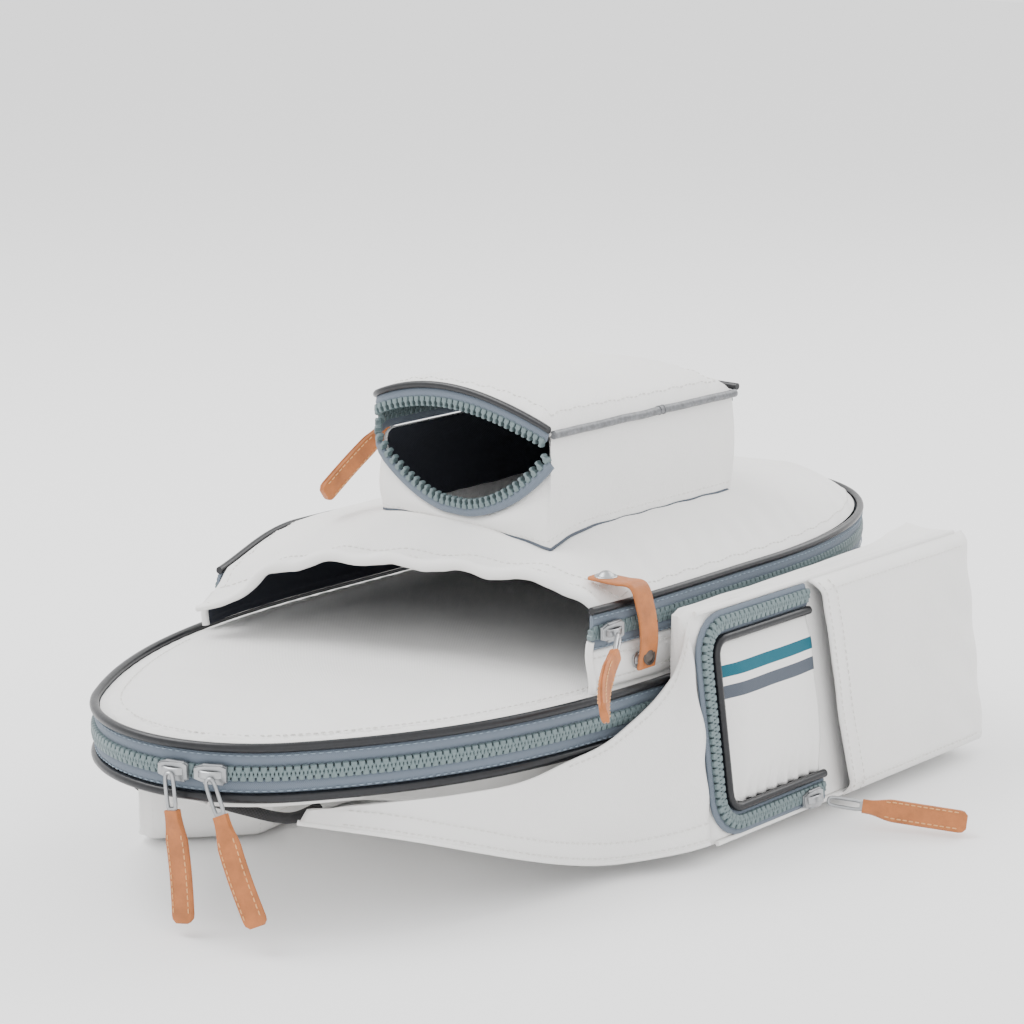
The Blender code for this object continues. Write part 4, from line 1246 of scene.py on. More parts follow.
def cover_surface(side, t):
    """A point on the cover with its puckers and soft hollows."""
    x, y = cover_plan(side, t)
    z = cover_height(x, y)
    wide = max(inset_width(y, 0.0080), 0.010)
    edge = min(wide * (1.0 - abs(side)), LENGTH - 0.0086 - y + 0.002)
    arc = y + 0.5 * abs(x)
    pucker = 0.0008 * math.sin(arc * 2 * math.pi / 0.017 + 3.0 * ripple((x, y, 0), 22.0))
    pucker *= smoothstep(0.0, 0.006, edge) * (1.0 - smoothstep(0.010, 0.045, edge))
    soft = 0.0016 * ripple((x, y, 0.0), 13.0, 8.0) + 0.0007 * ripple((x, y, 0.0), 34.0, 2.0)
    soft *= smoothstep(0.0, 0.03, edge)
    behind = y - mouth_y(side)
    hem = 0.0007 * (1.0 - smoothstep(0.0120, 0.0135, behind))
    drag = 0.0012 * math.sin(x * 2 * math.pi / 0.034 + 1.0) * math.exp(-((behind / 0.03) ** 2))
    return Vector((x, y, z + pucker + soft + hem + drag * smoothstep(0.0, 0.03, edge)))


def make_cover():
    columns, lines = 110, 120
    rows = []
    for j in range(lines + 1):
        t = (j / lines) ** 1.15
        row = []
        for i in range(columns + 1):
            side = math.sin(math.pi * (i / columns - 0.5))
            row.append(cover_surface(side, t))
        rows.append(row)
    shape = Shape().grid(rows)
    cover = put("cover_skin", shape, [fabric, lining], "cover", ["racket_cover"], outward=False)
    turn_out(cover, (0, 0, 1))
    thicken(cover, COVER_FABRIC, inner_look=1)
    edge = [cover_surface(math.sin(math.pi * (i / 160 - 0.5)) * 0.995, 0.0) for i in range(161)]
    edge = [point + Vector((0, -0.0004, -0.0012)) for point in edge]
    frames = curve_frames(resample(edge, 0.003), (0, 0, 1))
    wavy = [(p + out * 0.0006 * ripple(p, 70.0), out, up, along) for p, out, up, along in frames]
    roll = add_tube(Shape(), wavy, lambda t: 0.0031 + 0.0005 * ripple((t, 0, 0), 30, 4), 16)
    put("mouth_roll", roll, fabric, "cover", ["mouth_hem"])
    seams = Shape()
    for back in MOUTH_SEAMS:
        line = []
        for i in range(161):
            side = math.sin(math.pi * (i / 160 - 0.5)) * 0.985
            start = mouth_y(side)
            share = math.asin(min(back / (LENGTH - 0.0086 - start), 1.0)) * 2 / math.pi
            line.append(cover_surface(side, share))
        add_stitches(seams, line, (0, 0, 1))
    for way in (1, -1):
        line = []
        for i in range(120):
            t = 0.02 + 0.95 * i / 119
            line.append(cover_surface(way * (1.0 - 0.0045 / max(cover_wide(t, way), 0.02)), t))
        add_stitches(seams, line, lambda point, w=way: Vector((0.35 * w, 0, 1)).normalized())
    put("cover_seams", seams, thread, "cover")


def cover_wide(t, side):
    x, _ = cover_plan(side, t)
    return abs(x)


# ---------------------------------------------------------------- ball pouch


def wall_top(x, y):
    hinge_side = smoothstep(POUCH_X[1] - 0.0008, POUCH_X[1], x)
    rise = (POUCH_SPLIT + 0.0055 - POUCH_TOP) * hinge_side
    return max(POUCH_TOP + rise - WALL_SAG * pouch_mouth(x, y), cover_height(x, y) + 0.0035)


def pouch_ring():
    open_side = [tuple(point) for point in pouch_path(0.003)]
    near, far = open_side[0], open_side[-1]
    steps = 48
    right = [(far[0], far[1] + (near[1] - far[1]) * k / steps) for k in range(1, steps)]
    return open_side + right


def wall_surface(point, out, t, index):
    """A point of the pouch's wall: t runs from its base to its top edge."""
    x, y = point
    base, top = cover_height(x, y) - 0.0012, wall_top(x, y)
    z = base + (top - base) * t
    belly = 0.0024 * math.sin(math.pi * min(t * 1.02, 1.0)) - 0.0004
    near = 1.0 - smoothstep(0.0, 0.05, y - POUCH_Y[0])
    fold = 0.0016 * noise.noise(Vector((x * 34 + 0.35 * z * 60, y * 34, z * 26)))
    fold += 0.0011 * near * noise.noise(Vector((x * 80 + z * 45, y * 80, 7.0)))
    fold *= math.sin(math.pi * t) ** 0.7
    gather = 0.0005 * math.sin(index * 0.9) * math.exp(-((t / 0.16) ** 2))
    shift = out * (belly + fold + gather - 0.0014)
    return Vector((x + shift.x, y + shift.y, z))


def make_pouch_walls():
    ring = pouch_ring()
    count = len(ring)
    outs = []
    for i in range(count):
        a, b = Vector(ring[i - 1]), Vector(ring[(i + 1) % count])
        along = (b - a).normalized()
        outs.append(Vector((-along.y, along.x)))
    rows = []
    for k in range(25):
        t = k / 24
        rows.append([wall_surface(ring[i], outs[i], t, i) for i in range(count)])
    shape = Shape().grid(rows, around=True)
    walls = put("pouch_skin", shape, [fabric, lining], "cover", ["pouch_walls"], outward=False)
    spot = walls.data.polygons[len(walls.data.polygons) // 2].center
    turn_out(walls, (spot.x - sum(POUCH_X) / 2, spot.y - sum(POUCH_Y) / 2, 0.0))
    thicken(walls, FABRIC, inner_look=1)
    base = [wall_surface(ring[i], outs[i], 0.03, i) for i in range(count)]
    closed = base + [base[0]]
    frames = curve_frames(resample(closed, 0.004), (0, 0, 1))
    put("pouch_base_seam", add_tube(Shape(), frames, 0.0008, 8), slate_cloth, "cover")
    seams = Shape()
    line = [wall_surface(ring[i], outs[i], 0.115, i) for i in range(count)]
    add_wall_stitches(seams, resample(line + [line[0]], STITCH_PITCH), -1.0)
    put("pouch_seams", seams, thread, "cover")


def zip_path():
    return [tuple(point) for point in pouch_path(0.003) if point.x < POUCH_X[1] - 0.001]


def make_pouch_zipper():
    """The lower tape sags and the upper one arches where the zipper is open."""

    def low_line(x, y):
        return wall_top(x, y) + POUCH_SPLIT - POUCH_TOP

    def high_line(x, y):
        return POUCH_SPLIT + lid_arch(x, y)

    for side, sign, body, line in (("lower", -1.0, "cover", low_line), ("upper", 1.0, "lid", high_line)):
        flat = plan_frames(zip_path(), line, -0.0012, TOOTH_PITCH)
        frames = []
        for (point, out, _, _), along in zip(flat, tangents([f[0] for f in flat])):
            out = -out
            up = along.cross(out).normalized()
            up = up if up.z > 0 else -up
            frames.append((point, out, up, along))
        near, far = TOOTH_HALF - ZIP_LAP, POUCH_ZIP_HALF + 0.0006
        low, high = sorted((sign * near, sign * far))
        strip = add_band(Shape(), frames, low, high, -0.0010, 0.0006, 0.0004)
        put("pouch_tape_" + side, strip, tape, body, ["pouch_zip_" + side])
        row = Shape()
        add_teeth(row, frames, sign, 0.0 if sign < 0 else 0.5)
        put("pouch_teeth_" + side, row, teeth, body, (), 30.0)


def lid_surface(s, t):
    (x0, x1), (y0, y1) = POUCH_X, POUCH_Y
    y = y0 + (y1 - y0) * t
    reach = max(1.0 - min(y - y0, y1 - y) / POUCH_CORNER, 0.0)
    left = x0 + POUCH_CORNER * (1.0 - math.sqrt(1.0 - reach**2)) + 0.0004
    x = left + (x1 - 0.0006 - left) * s
    dome = (1 - abs(2 * s - 1) ** 3.0) ** 0.8 * (1 - abs(2 * t - 1) ** 6.0) ** 0.7
    edge = min(x - left, x1 - x, y - y0, y1 - y)
    soft = 0.0010 * ripple((x, y, 0.3), 26.0, 4.0) + 0.0006 * ripple((x, y, 0.3), 60.0, 9.0)
    pucker = 0.0006 * math.sin((x + y) * 2 * math.pi / 0.012 + 2 * ripple((x, y, 0), 40.0))
    pucker *= smoothstep(0.0, 0.004, edge) * (1.0 - smoothstep(0.006, 0.022, edge))
    crown = LID_CROWN - 0.0010 - 0.85 * lid_arch(x, y)
    z = lid_base(x, y) + 0.0024 - 0.0032 * smoothstep(0.93, 1.0, s) + crown * dome
    return Vector((x, y, z + (soft * smoothstep(0.0, 0.02, edge)) + pucker))


def make_lid():
    columns = lines = 60
    rows = []
    for j in range(lines + 1):
        rows.append([lid_surface(ease(i / columns), ease(j / lines)) for i in range(columns + 1)])
    lid = put("lid_skin", Shape().grid(rows), [fabric, lining], "lid", ["pouch_lid"], outward=False)
    turn_out(lid, (0, 0, 1))
    thicken(lid, FABRIC, inner_look=1)
    flat = plan_frames([tuple(point) for point in pouch_path(0.004)], lid_base, -0.0018, 0.004)
    cord = [(point + Vector((0, 0, 0.0019)), out, up, along) for point, out, up, along in flat]
    put("lid_cord", add_tube(Shape(), cord, 0.0018, 12), piping, "lid", ["lid_piping"])
    seams = Shape()
    inset = 0.055
    right = [(1.0 - inset, t / 60) for t in range(3, 58)]
    near = [(s / 60, inset) for s in range(4, 58)]
    far = [(s / 60, 1.0 - inset) for s in range(4, 58)]
    left = [(inset, t / 60) for t in range(6, 55)]
    for run, normal in (
        (right, (0.3, 0, 0.95)),
        (near, (0, -0.2, 0.97)),
        (far, (0, 0.2, 0.97)),
        (left, (-0.3, 0, 0.95)),
    ):
        add_stitches(seams, [lid_surface(s, t) for s, t in run], normal)
    put("lid_seams", seams, thread, "lid")
    make_side_cord()


def make_side_cord():
    """Grey piping along the lid's hinge, with the joint where its two ends meet."""
    edge = []
    for k in range(60):
        y = POUCH_Y[0] + 0.001 + (POUCH_Y[1] - POUCH_Y[0] - 0.002) * k / 59
        z = POUCH_SPLIT + 0.0062 + 0.0004 * ripple((0, y, 0), 60.0)
        edge.append(Vector((POUCH_X[1] + 0.0004, y, z)))
    cord = add_tube(Shape(), curve_frames(edge, (0, 0, 1)), 0.0021, 14)
    put("pouch_side_cord", cord, grey_piping, "cover", ())
    joint = Shape()
    spot = edge[34]
    right, up, along = Vector((1, 0, 0)), Vector((0, 0, 1)), Vector((0, 1, 0))
    for offset in (-0.0016, 0.0016):
        ring = [(spot + Vector((0, offset + d, 0)), right, up, along) for d in (-0.0006, 0.0006)]
        add_tube(joint, ring, 0.0024, 14)
    put("pouch_cord_joint", joint, grey_piping, "cover", ())


# ---------------------------------------------------------------- side pocket


def make_side_pocket():
    """A soft box with rounded edges. Its outer face is open where the flap covers it."""
    corner = 0.0065
    ys = [SIDE_Y[0] + 0.010 * k / 6 for k in range(6)]
    ys += [DOOR_Y[0] + (DOOR_Y[1] - DOOR_Y[0]) * k / 16 for k in range(17)]
    ys += [DOOR_Y[1] + (SIDE_Y[1] - DOOR_Y[1]) * k / 34 for k in range(1, 35)]
    face_z = [SIDE_Z[0] + corner, DOOR_Z[0]]
    face_z += [DOOR_Z[0] + (DOOR_Z[1] - DOOR_Z[0]) * k / 20 for k in range(1, 21)]
    face_z += [SIDE_Z[1] - corner]
    sections = []
    for y in ys:
        end_share = smoothstep(0.0, 0.006, y - SIDE_Y[0]) * smoothstep(0.0, 0.010, SIDE_Y[1] - y)
        shrink = 0.0022 * (1.0 - end_share)
        inner = pocket_inner(y) + 0.0006
        low, high = SIDE_Z[0] + shrink, SIDE_Z[1] - shrink
        along = min(max((y - SIDE_Y[0]) / (SIDE_Y[1] - SIDE_Y[0]), 0), 1)
        puff = 0.0010 * math.sin(math.pi * along)
        row = [(inner, low + 0.001), (inner + 0.004, low)]
        depth = face_x(low) - corner - inner
        for k in range(1, 6):
            row.append((inner + 0.004 + (depth - 0.004) * k / 5, low))
        turns = [(math.sin(0.5 * math.pi * k / 5), math.cos(0.5 * math.pi * k / 5)) for k in range(1, 5)]
        for sine, cosine in turns:
            row.append((face_x(low) - corner + corner * sine - shrink, low + corner - corner * cosine))
        for z in face_z:
            row.append((face_x(z) - shrink, min(max(z, low + corner), high - corner)))
        for sine, cosine in turns:
            row.append((face_x(high) - corner + corner * cosine - shrink, high - corner + corner * sine))
        depth = face_x(high) - corner - inner
        for k in range(1, 7):
            sag = 0.0012 * math.sin(math.pi * k / 6) * (1 if y > 0.26 else 0.3)
            row.append((face_x(high) - corner - depth * k / 6, high - sag + puff * 0.5))
        for k in range(1, 8):
            row.append((inner, high - (high - low - 0.001) * k / 8))
        placed = []
        for x, z in row:
            crease = 0.0007 * ripple((x, y, z), 48.0, 6.0)
            on_face = abs(x - face_x(z)) < 0.004
            crease = 0.0 if on_face else crease
            placed.append(Vector((x + crease, y, z + crease)))
        sections.append(placed)
    near_cap = shrink_ring(sections[0], -0.0015)
    far_cap = shrink_ring(sections[-1], 0.0015)
    sections = near_cap[::-1] + sections + far_cap
    added = len(near_cap)

    def is_door(i, j):
        a = sections[j][i]
        b = sections[j + 1][(i + 1) % len(sections[j])]
        middle = (a + b) / 2
        inside_y = DOOR_Y[0] < middle.y < DOOR_Y[1]
        inside_z = DOOR_Z[0] < middle.z < DOOR_Z[1]
        return inside_y and inside_z and middle.x > SIDE_INNER_X + 0.006 and added <= j

    shape = Shape().grid(sections, around=True, skip=is_door)
    pocket = put("pocket_skin", shape, [fabric, lining], "bag", ["side_pocket"], outward=False)
    close_ends(pocket)
    thicken(pocket, FABRIC, inner_look=1)


def shrink_ring(ring, step):
    """Rings that close a soft box's end, each smaller and further out."""
    middle = sum(ring, Vector()) / len(ring)
    found = []
    for share, out in ((0.93, 0.7), (0.75, 1.0), (0.45, 1.2), (0.12, 1.25)):
        found.append([middle + (point - middle) * share + Vector((0, step * out, 0)) for point in ring])
    return found


def close_ends(obj):
    """Fills the last small hole at each end and turns the normals outwards."""
    bm = bmesh.new()
    bm.from_mesh(obj.data)
    ends = []
    for edge in bm.edges:
        ys = [vert.co.y for vert in edge.verts]
        if edge.is_boundary and (max(ys) < SIDE_Y[0] or min(ys) > SIDE_Y[1]):
            ends.append(edge)
    bmesh.ops.holes_fill(bm, edges=ends, sides=0)
    bmesh.ops.recalc_face_normals(bm, faces=bm.faces)
    outer = max(bm.faces, key=lambda f: f.calc_center_median().x)
    if outer.normal.x < 0:
        bmesh.ops.reverse_faces(bm, faces=bm.faces)
    bm.to_mesh(obj.data)
    bm.free()


def flap_out(y, z, inset=FLAP_INSET + 0.0006):
    """How far the padded flap stands off the face."""
    near = SIDE_Y[0] + 0.002 + inset
    low, high = SIDE_Z[0] + 0.004 + inset, SIDE_Z[1] - 0.003 - inset
    edge = min(y - near, z - low, high - z)
    puff = 0.0034 * smoothstep(-0.001, 0.016, edge)
    hinge = 1.0 - 0.35 * smoothstep(FLAP_END - 0.02, FLAP_END, y)
    gather = 0.0010 * math.sin(y * 2 * math.pi / 0.0085 + 1.2 * ripple((y, z, 0), 60.0))
    gather *= math.exp(-(((z - low) / 0.012) ** 2))
    soft = 0.0008 * ripple((y, z, 0.0), 45.0, 3.0) * smoothstep(0.0, 0.012, edge)
    return 0.0012 + puff * hinge + gather + soft


def make_flap():
    near = SIDE_Y[0] + 0.002 + FLAP_INSET
    low, high = SIDE_Z[0] + 0.004 + FLAP_INSET, SIDE_Z[1] - 0.003 - FLAP_INSET
    corner = FLAP_CORNER - FLAP_INSET
    cuts = [low, high]
    for start, end, _ in STRIPES:
        cuts += [start, end]
    cuts = sorted(cuts)
    levels = []
    for a, b in zip(cuts, cuts[1:]):
        steps = max(2, round((b - a) / 0.002))
        levels += [a + (b - a) * k / steps for k in range(steps)]
    levels.append(high)
    rows = []
    for z in levels:
        reach = max(low + corner - z, z - (high - corner), 0.0)
        start = near + corner - math.sqrt(max(corner**2 - reach**2, 0.0))
        row = []
        for i in range(41):
            y = start + (FLAP_END - 0.0004 - start) * i / 40
            row.append(face_point(y, z, flap_out(y, z)))
        rows.append(row)

    def stripe(_, j):
        middle = (levels[j] + levels[j + 1]) / 2
        for start, end, look in STRIPES:
            if start < middle < end:
                return look
        return 0

    shape = Shape().grid(rows, row_look=stripe)
    looks = [fabric, teal_cloth, slate_cloth, lining]
    flap = put("flap_skin", shape, looks, "flap", ["side_flap"], outward=False)
    turn_out(flap, FACE_OUT)
    thicken(flap, FLAP_FABRIC)
    put(
        "flap_cord",
        add_tube(Shape(), face_frames(0.0123, 0.0030), 0.0021, 14),
        piping,
        "flap",
        ["flap_piping"],
    )


def make_side_zipper():
    chain = face_frames(0.0052, 0.0024, TOOTH_PITCH)
    inward = inward_sign(chain)
    for side, way, body, far, phase in (
        ("fixed", -1.0, "bag", 0.0060, 0.0),
        ("flap", 1.0, "flap", 0.0054, 0.5),
    ):
        sign = way * inward
        low, high = sorted((sign * 0.0022, sign * far))
        strip = add_band(Shape(), chain, low, high, -0.0018, -0.0004, 0.0004)
        put("side_tape_" + side, strip, tape, body, ["side_zip_" + side])
        row = Shape()
        add_teeth(row, chain, sign, phase)
        put("side_teeth_" + side, row, teeth, body, (), 30.0)


def inward_sign(frames):
    """+1 if the frames' up direction points to the middle of the flap."""
    point, _, up, _ = frames[len(frames) // 2]
    middle = face_point((SIDE_Y[0] + FLAP_END) / 2, (SIDE_Z[0] + SIDE_Z[1]) / 2, 0.0)
    return 1.0 if (middle - point).dot(up) > 0 else -1.0


def make_sleeve():
    start, end = FLAP_END + 0.0042, SIDE_Y[1] - 0.0002
    low, high = SIDE_Z[0] + 0.0010, SIDE_Z[1] - 0.0010
    stand = 0.0088
    rows = []
    lines, columns = 40, 56
    for j in range(lines + 1):
        t = j / lines
        z = low + (high - low) * ease(t)
        row = []
        mouth = start + 0.0125 * (1.0 - t) ** 1.2
        for i in range(columns + 1):
            s = i / columns
            y = mouth + (end - mouth) * s
            to_edge = min(z - low, high - z, (end - y) * 0.8)
            rise = math.sin(0.5 * math.pi * min(to_edge / 0.0085, 1.0)) ** 0.8 if to_edge > 0 else 0.0
            hem = 0.0005 * (1.0 - smoothstep(0.0105, 0.0115, y - mouth))
            soft = 0.0014 * ripple((y, z, 0.0), 20.0, 11.0) + 0.0006 * ripple((y, z, 0.0), 55.0, 2.0)
            crease = 0.0008 * math.sin((y * 0.8 + z) * 2 * math.pi / 0.03) * smoothstep(0.39, 0.44, y)
            out = 0.0010 + (stand - 0.0010 + hem + soft * smoothstep(0, 0.02, to_edge) - crease) * rise
            row.append(face_point(y, z, out))
        rows.append(row)
    sheet = Shape().grid(rows)
    sleeve = put("sleeve_skin", sheet, [fabric, lining], "bag", ["pocket_sleeve"], outward=False)
    turn_out(sleeve, FACE_OUT)
    thicken(sleeve, SLEEVE_FABRIC, inner_look=1)
    seams = Shape()
    for back in SLEEVE_SEAMS:
        line = []
        for row in rows[3:-3]:
            a = row[0]
            line.append(Vector((a.x, a.y + back, a.z)) + FACE_OUT * 0.0006)
        add_stitches(seams, line, FACE_OUT)
    for index in (6, lines - 6):
        line = [point + FACE_OUT * 0.0004 for point in rows[index][2:-5]]
        add_stitches(seams, line, FACE_OUT)
    put("sleeve_seams", seams, thread, "bag")
    edges = Shape()
    start_y, run = SIDE_Y[0] + 0.004, SIDE_Y[1] - SIDE_Y[0] - 0.012
    for z in (SIDE_Z[1] - 0.0006, SIDE_Z[0] + 0.0026):
        line = [face_point(start_y + run * k / 60, z, 0.0006) for k in range(61)]
        add_tube(edges, curve_frames(line, (0, 0, 1)), 0.0013, 10)
    put("pocket_edge_cord", edges, fabric, "bag")


def make_wing():
    hem = [
        (0.0520, 0.0460, 0.0430),
        (0.0920, 0.0730, 0.0380),
        (0.1160, 0.1180, 0.0230),
        (0.1240, 0.1500, 0.0130),
        (0.1300, 0.1760, 0.0078),
        (0.1440, 0.2050, 0.0084),
        (0.1500, 0.2205, 0.0098),
    ]
    top = [
        (0.0560, 0.0470, 0.0500),
        (0.0935, 0.0735, 0.0560),
        (0.1130, 0.1180, 0.0560),
        (0.1210, 0.1500, 0.0610),
        (0.1262, 0.1800, 0.0680),
        (0.1310, 0.2130, 0.0880),
        (0.1345, 0.2205, 0.1150),
    ]
    count = 70
    outwards = Vector((0.95, -0.3, 0.05)).normalized()
    hem_line = resample(smooth_curve(hem, 0.002), 0.0030)
    top_line = resample(smooth_curve(top, 0.002), 0.0030)
    rows = []
    for j in range(count + 1):
        s = j / count
        a = point_at(hem_line, s)
        b = point_at(top_line, s)
        row = []
        for i in range(37):
            t = i / 36
            point = a.lerp(b, t)
            belly = 0.0045 * math.sin(math.pi * t) * smoothstep(0.15, 0.6, s)
            wide = smoothstep(0.05, 0.35, s)
            fold = 0.0022 * math.sin((point.y * 1.0 + point.z * 1.6) * 2 * math.pi / 0.052)
            fold *= math.sin(math.pi * t) ** 0.8 * wide * (0.5 + 0.5 * ripple(point, 14.0, 4.0))
            soft = 0.0016 * ripple(point, 30.0, 2.0) * math.sin(math.pi * t)
            hem_fold = 0.0006 * (1.0 - smoothstep(0.0100, 0.0115, (point - a).length))
            push = belly + fold + soft + hem_fold
            row.append(point + Vector((push * 0.97, -push * 0.25, 0)))
        rows.append(row)
    wing = put("wing_skin", Shape().grid(rows), fabric, "bag", ["side_wing"], outward=False)
    turn_out(wing, (1, 0, 0))
    thicken(wing, FABRIC)
    roll = curve_frames([row[0] + Vector((-0.0006, 0, 0.0006)) for row in rows], (0, 0, 1))
    put("wing_roll", add_tube(Shape(), roll, 0.0013, 10), fabric, "bag")
    seams = Shape()
    for height in WING_SEAMS:
        line = []
        for row in rows[6:]:
            along, spot = 0.0, row[0]
            for a, b in chunks(row):
                step = (b - a).length
                if along + step >= height:
                    spot = a.lerp(b, (height - along) / max(step, 1e-9))
                    break
                along += step
            line.append(spot + Vector((0.0004, -0.0001, 0)))
        add_stitches(seams, line, outwards)
    line = [row[-3] + Vector((0.0004, -0.0001, 0)) for row in rows[40:]]
    add_stitches(seams, line, outwards)
    put("wing_seams", seams, thread, "bag")


# ---------------------------------------------------------------- sliders, pulls and snap strap


def slider_shape(place):
    """A zipper slider: base plate with flared sides, wedge front, bridge and pull bar."""
    shape = Shape()
    length, width, _ = SLIDER
    plan = [(-0.5, 0.30), (-0.30, 0.42), (0.05, 0.48), (0.32, 0.5), (0.5, 0.38)]
    for low, high, grow in ((0.0, 0.0014, 1.0), (0.0014, 0.0024, 0.86)):
        rows = []
        outline = [(x * length, w * width * grow) for x, w in plan]
        ring = outline + [(x, -w) for x, w in outline[::-1]]
        for z, inset in ((low, 0.0004), (low + 0.0003, 0.0), (high - 0.0003, 0.0), (high, 0.0004)):
            rows.append([Vector((x * (1 - inset * 60), w * (1 - inset * 90), z)) for x, w in ring])
        rows = [[place @ point for point in row] for row in rows]
        shape.grid(rows, around=True, caps=True)
    for way in (-1, 1):
        rail = rounded_box((length * 0.62, 0.0011, 0.0016), 0.0004)
        shape.solid(rail, place @ Matrix.Translation((0.0012, way * width * 0.44, 0.0012)))
    rise = [(-0.0050, 0.0022), (-0.0036, 0.0034), (-0.0012, 0.0041)]
    hump = rise + [(-x, z) for x, z in rise[::-1]]
    line = smooth_curve([Vector((x, 0, z)) for x, z in hump], 0.0006)
    frames = curve_frames([place @ point for point in line], place.to_3x3() @ Vector((0, 0, 1)))
    ring = [(-0.0016, -0.0004), (0.0016, -0.0004), (0.0018, 0.0)]
    ring += [(0.0014, 0.0005), (-0.0014, 0.0005), (-0.0018, 0.0)]
    rows = []
    for point, out, side, _ in frames:
        rows.append([point + side * a + out * b for a, b in ring])
    shape.grid(rows, around=True, caps=True)
    return shape


def puller_shape(place, length):
    """A long ring: two side bars joined at both ends, thicker at the leather's end."""
    shape = Shape()
    wide = PULLER[0] / 2 - 0.0009
    half = length / 2
    outline = []
    for k in range(32):
        angle = 2 * math.pi * k / 32
        c, s = math.cos(angle), math.sin(angle)
        outline.append(
            Vector(
                (
                    math.copysign(abs(c) ** 0.45, c) * (half - 0.0009),
                    math.copysign(abs(s) ** 0.6, s) * (wide * (1.0 if c < 0.2 else 0.92)),
                    0.0,
                )
            )
        )
    rows = []
    count = len(outline)
    for i in range(count):
        along = (outline[(i + 1) % count] - outline[i - 1]).normalized()
        side = Vector((along.y, -along.x, 0.0))
        row = []
        for k in range(10):
            angle = 2 * math.pi * k / 10
            row.append(
                place
                @ (outline[i] + side * (math.cos(angle) * 0.0009) + Vector((0, 0, math.sin(angle) * 0.0010)))
            )
        rows.append(row)
    rows.append(rows[0])
    shape.grid(rows, around=True)
    bar = rounded_box((0.0030, PULLER[0] - 0.0016, 0.0020), 0.0005)
    shape.solid(bar, place @ Matrix.Translation((half - 0.0024, 0, 0)))
    return shape


def pull_shape(place, length, bend):
    """A strap of leather folded round the ring's bar, narrow at the fold, its two layers sewn."""
    shape = Shape()
    wide, thick = LEATHER[0] / 2, LEATHER[1] / 2
    upper = [(-1.0, 0.30), (-0.90, 0.86), (-0.6, 1.0), (0.0, 1.04), (0.6, 1.0), (0.90, 0.86)]
    upper += [(1.0, 0.30), (0.99, 0.06), (0.99, -0.06)]
    section = upper + [(-a, -b) for a, b in upper]
    rows = []
    steps = 30
    for j in range(steps + 1):
        t = j / steps
        x = -length / 2 + length * t
        narrow = 0.62 + 0.38 * smoothstep(0.05, 0.30, t)
        end = math.sqrt(max(1.0 - max((t - 0.93) / 0.07, 0.0) ** 2, 0.02))
        width = wide * narrow * (0.55 + 0.45 * end)
        squeeze = 1.0 - 0.30 * smoothstep(0.08, 0.22, t) * (1.0 - 0.3 * t)
        lift = bend * math.sin(math.pi * t)
        row = []
        for a, b in section:
            groove = 0.90 if abs(b) < 0.1 else 1.0
            row.append(place @ Vector((x, a * width * groove, b * thick * squeeze + lift)))
        rows.append(row)
    shape.grid(rows, around=True, caps=True)
    return shape


def pull_stitches(place, length, bend):
    shape = Shape()
    wide, thick = LEATHER[0] / 2, LEATHER[1] / 2
    for way in (-1, 1):
        for level in (-1, 1):
            x = -length * 0.26
            while x < length * 0.43:
                t = (x + length / 2) / length
                squeeze = 1.0 - 0.30 * smoothstep(0.08, 0.22, t) * (1.0 - 0.3 * t)
                lift = bend * math.sin(math.pi * t)
                narrow = 0.62 + 0.38 * smoothstep(0.05, 0.30, t)
                spot = Vector((x, way * (wide * narrow - 0.0016), level * thick * squeeze + lift))
                turn = Matrix.Rotation(math.pi, 4, "X") if level < 0 else Matrix.Identity(4)
                shape.solid(STITCH, place @ Matrix.Translation(spot) @ turn)
                x += 0.0030
    return shape


def make_slider(name, centre, along, out, hang, bend=0.0):
    centre, along, out = Vector(centre), Vector(along).normalized(), Vector(out).normalized()
    hang = Vector(hang).normalized()
    body, tab = name + "_runner", name + "_tab"
    base = slider_shape(place_matrix(centre, along, out))
    put(name + "_slider_body", base, metal, body, [name + "_slider"], 35.0)
    pivot = centre + out * (SLIDER[2] + GAP + PULLER[1] / 2)
    across = hang.cross(out).normalized()
    lift = across.cross(hang).normalized()
    reach = 0.005 * max(hang.dot(out), 0.0) - 0.0008
    ring = place_matrix(pivot + hang * (PULLER[2] / 2 + reach), hang, lift)
    loop = puller_shape(ring, PULLER[2])
    put(name + "_ring", loop, metal, tab, [name + "_puller"], 35.0)
    start = pivot + hang * (PULLER[2] + reach + GAP - 0.0028)
    length = LEATHER[2] + 0.0028
    place = place_matrix(start + hang * (length / 2), hang, lift)
    pull, dashes = pull_shape(place, length, bend), pull_stitches(place, length, bend)
    put(name + "_leather", pull, leather, tab, [name + "_pull"], 50.0)
    put(name + "_leather_seam", dashes, tan_thread, tab, ())


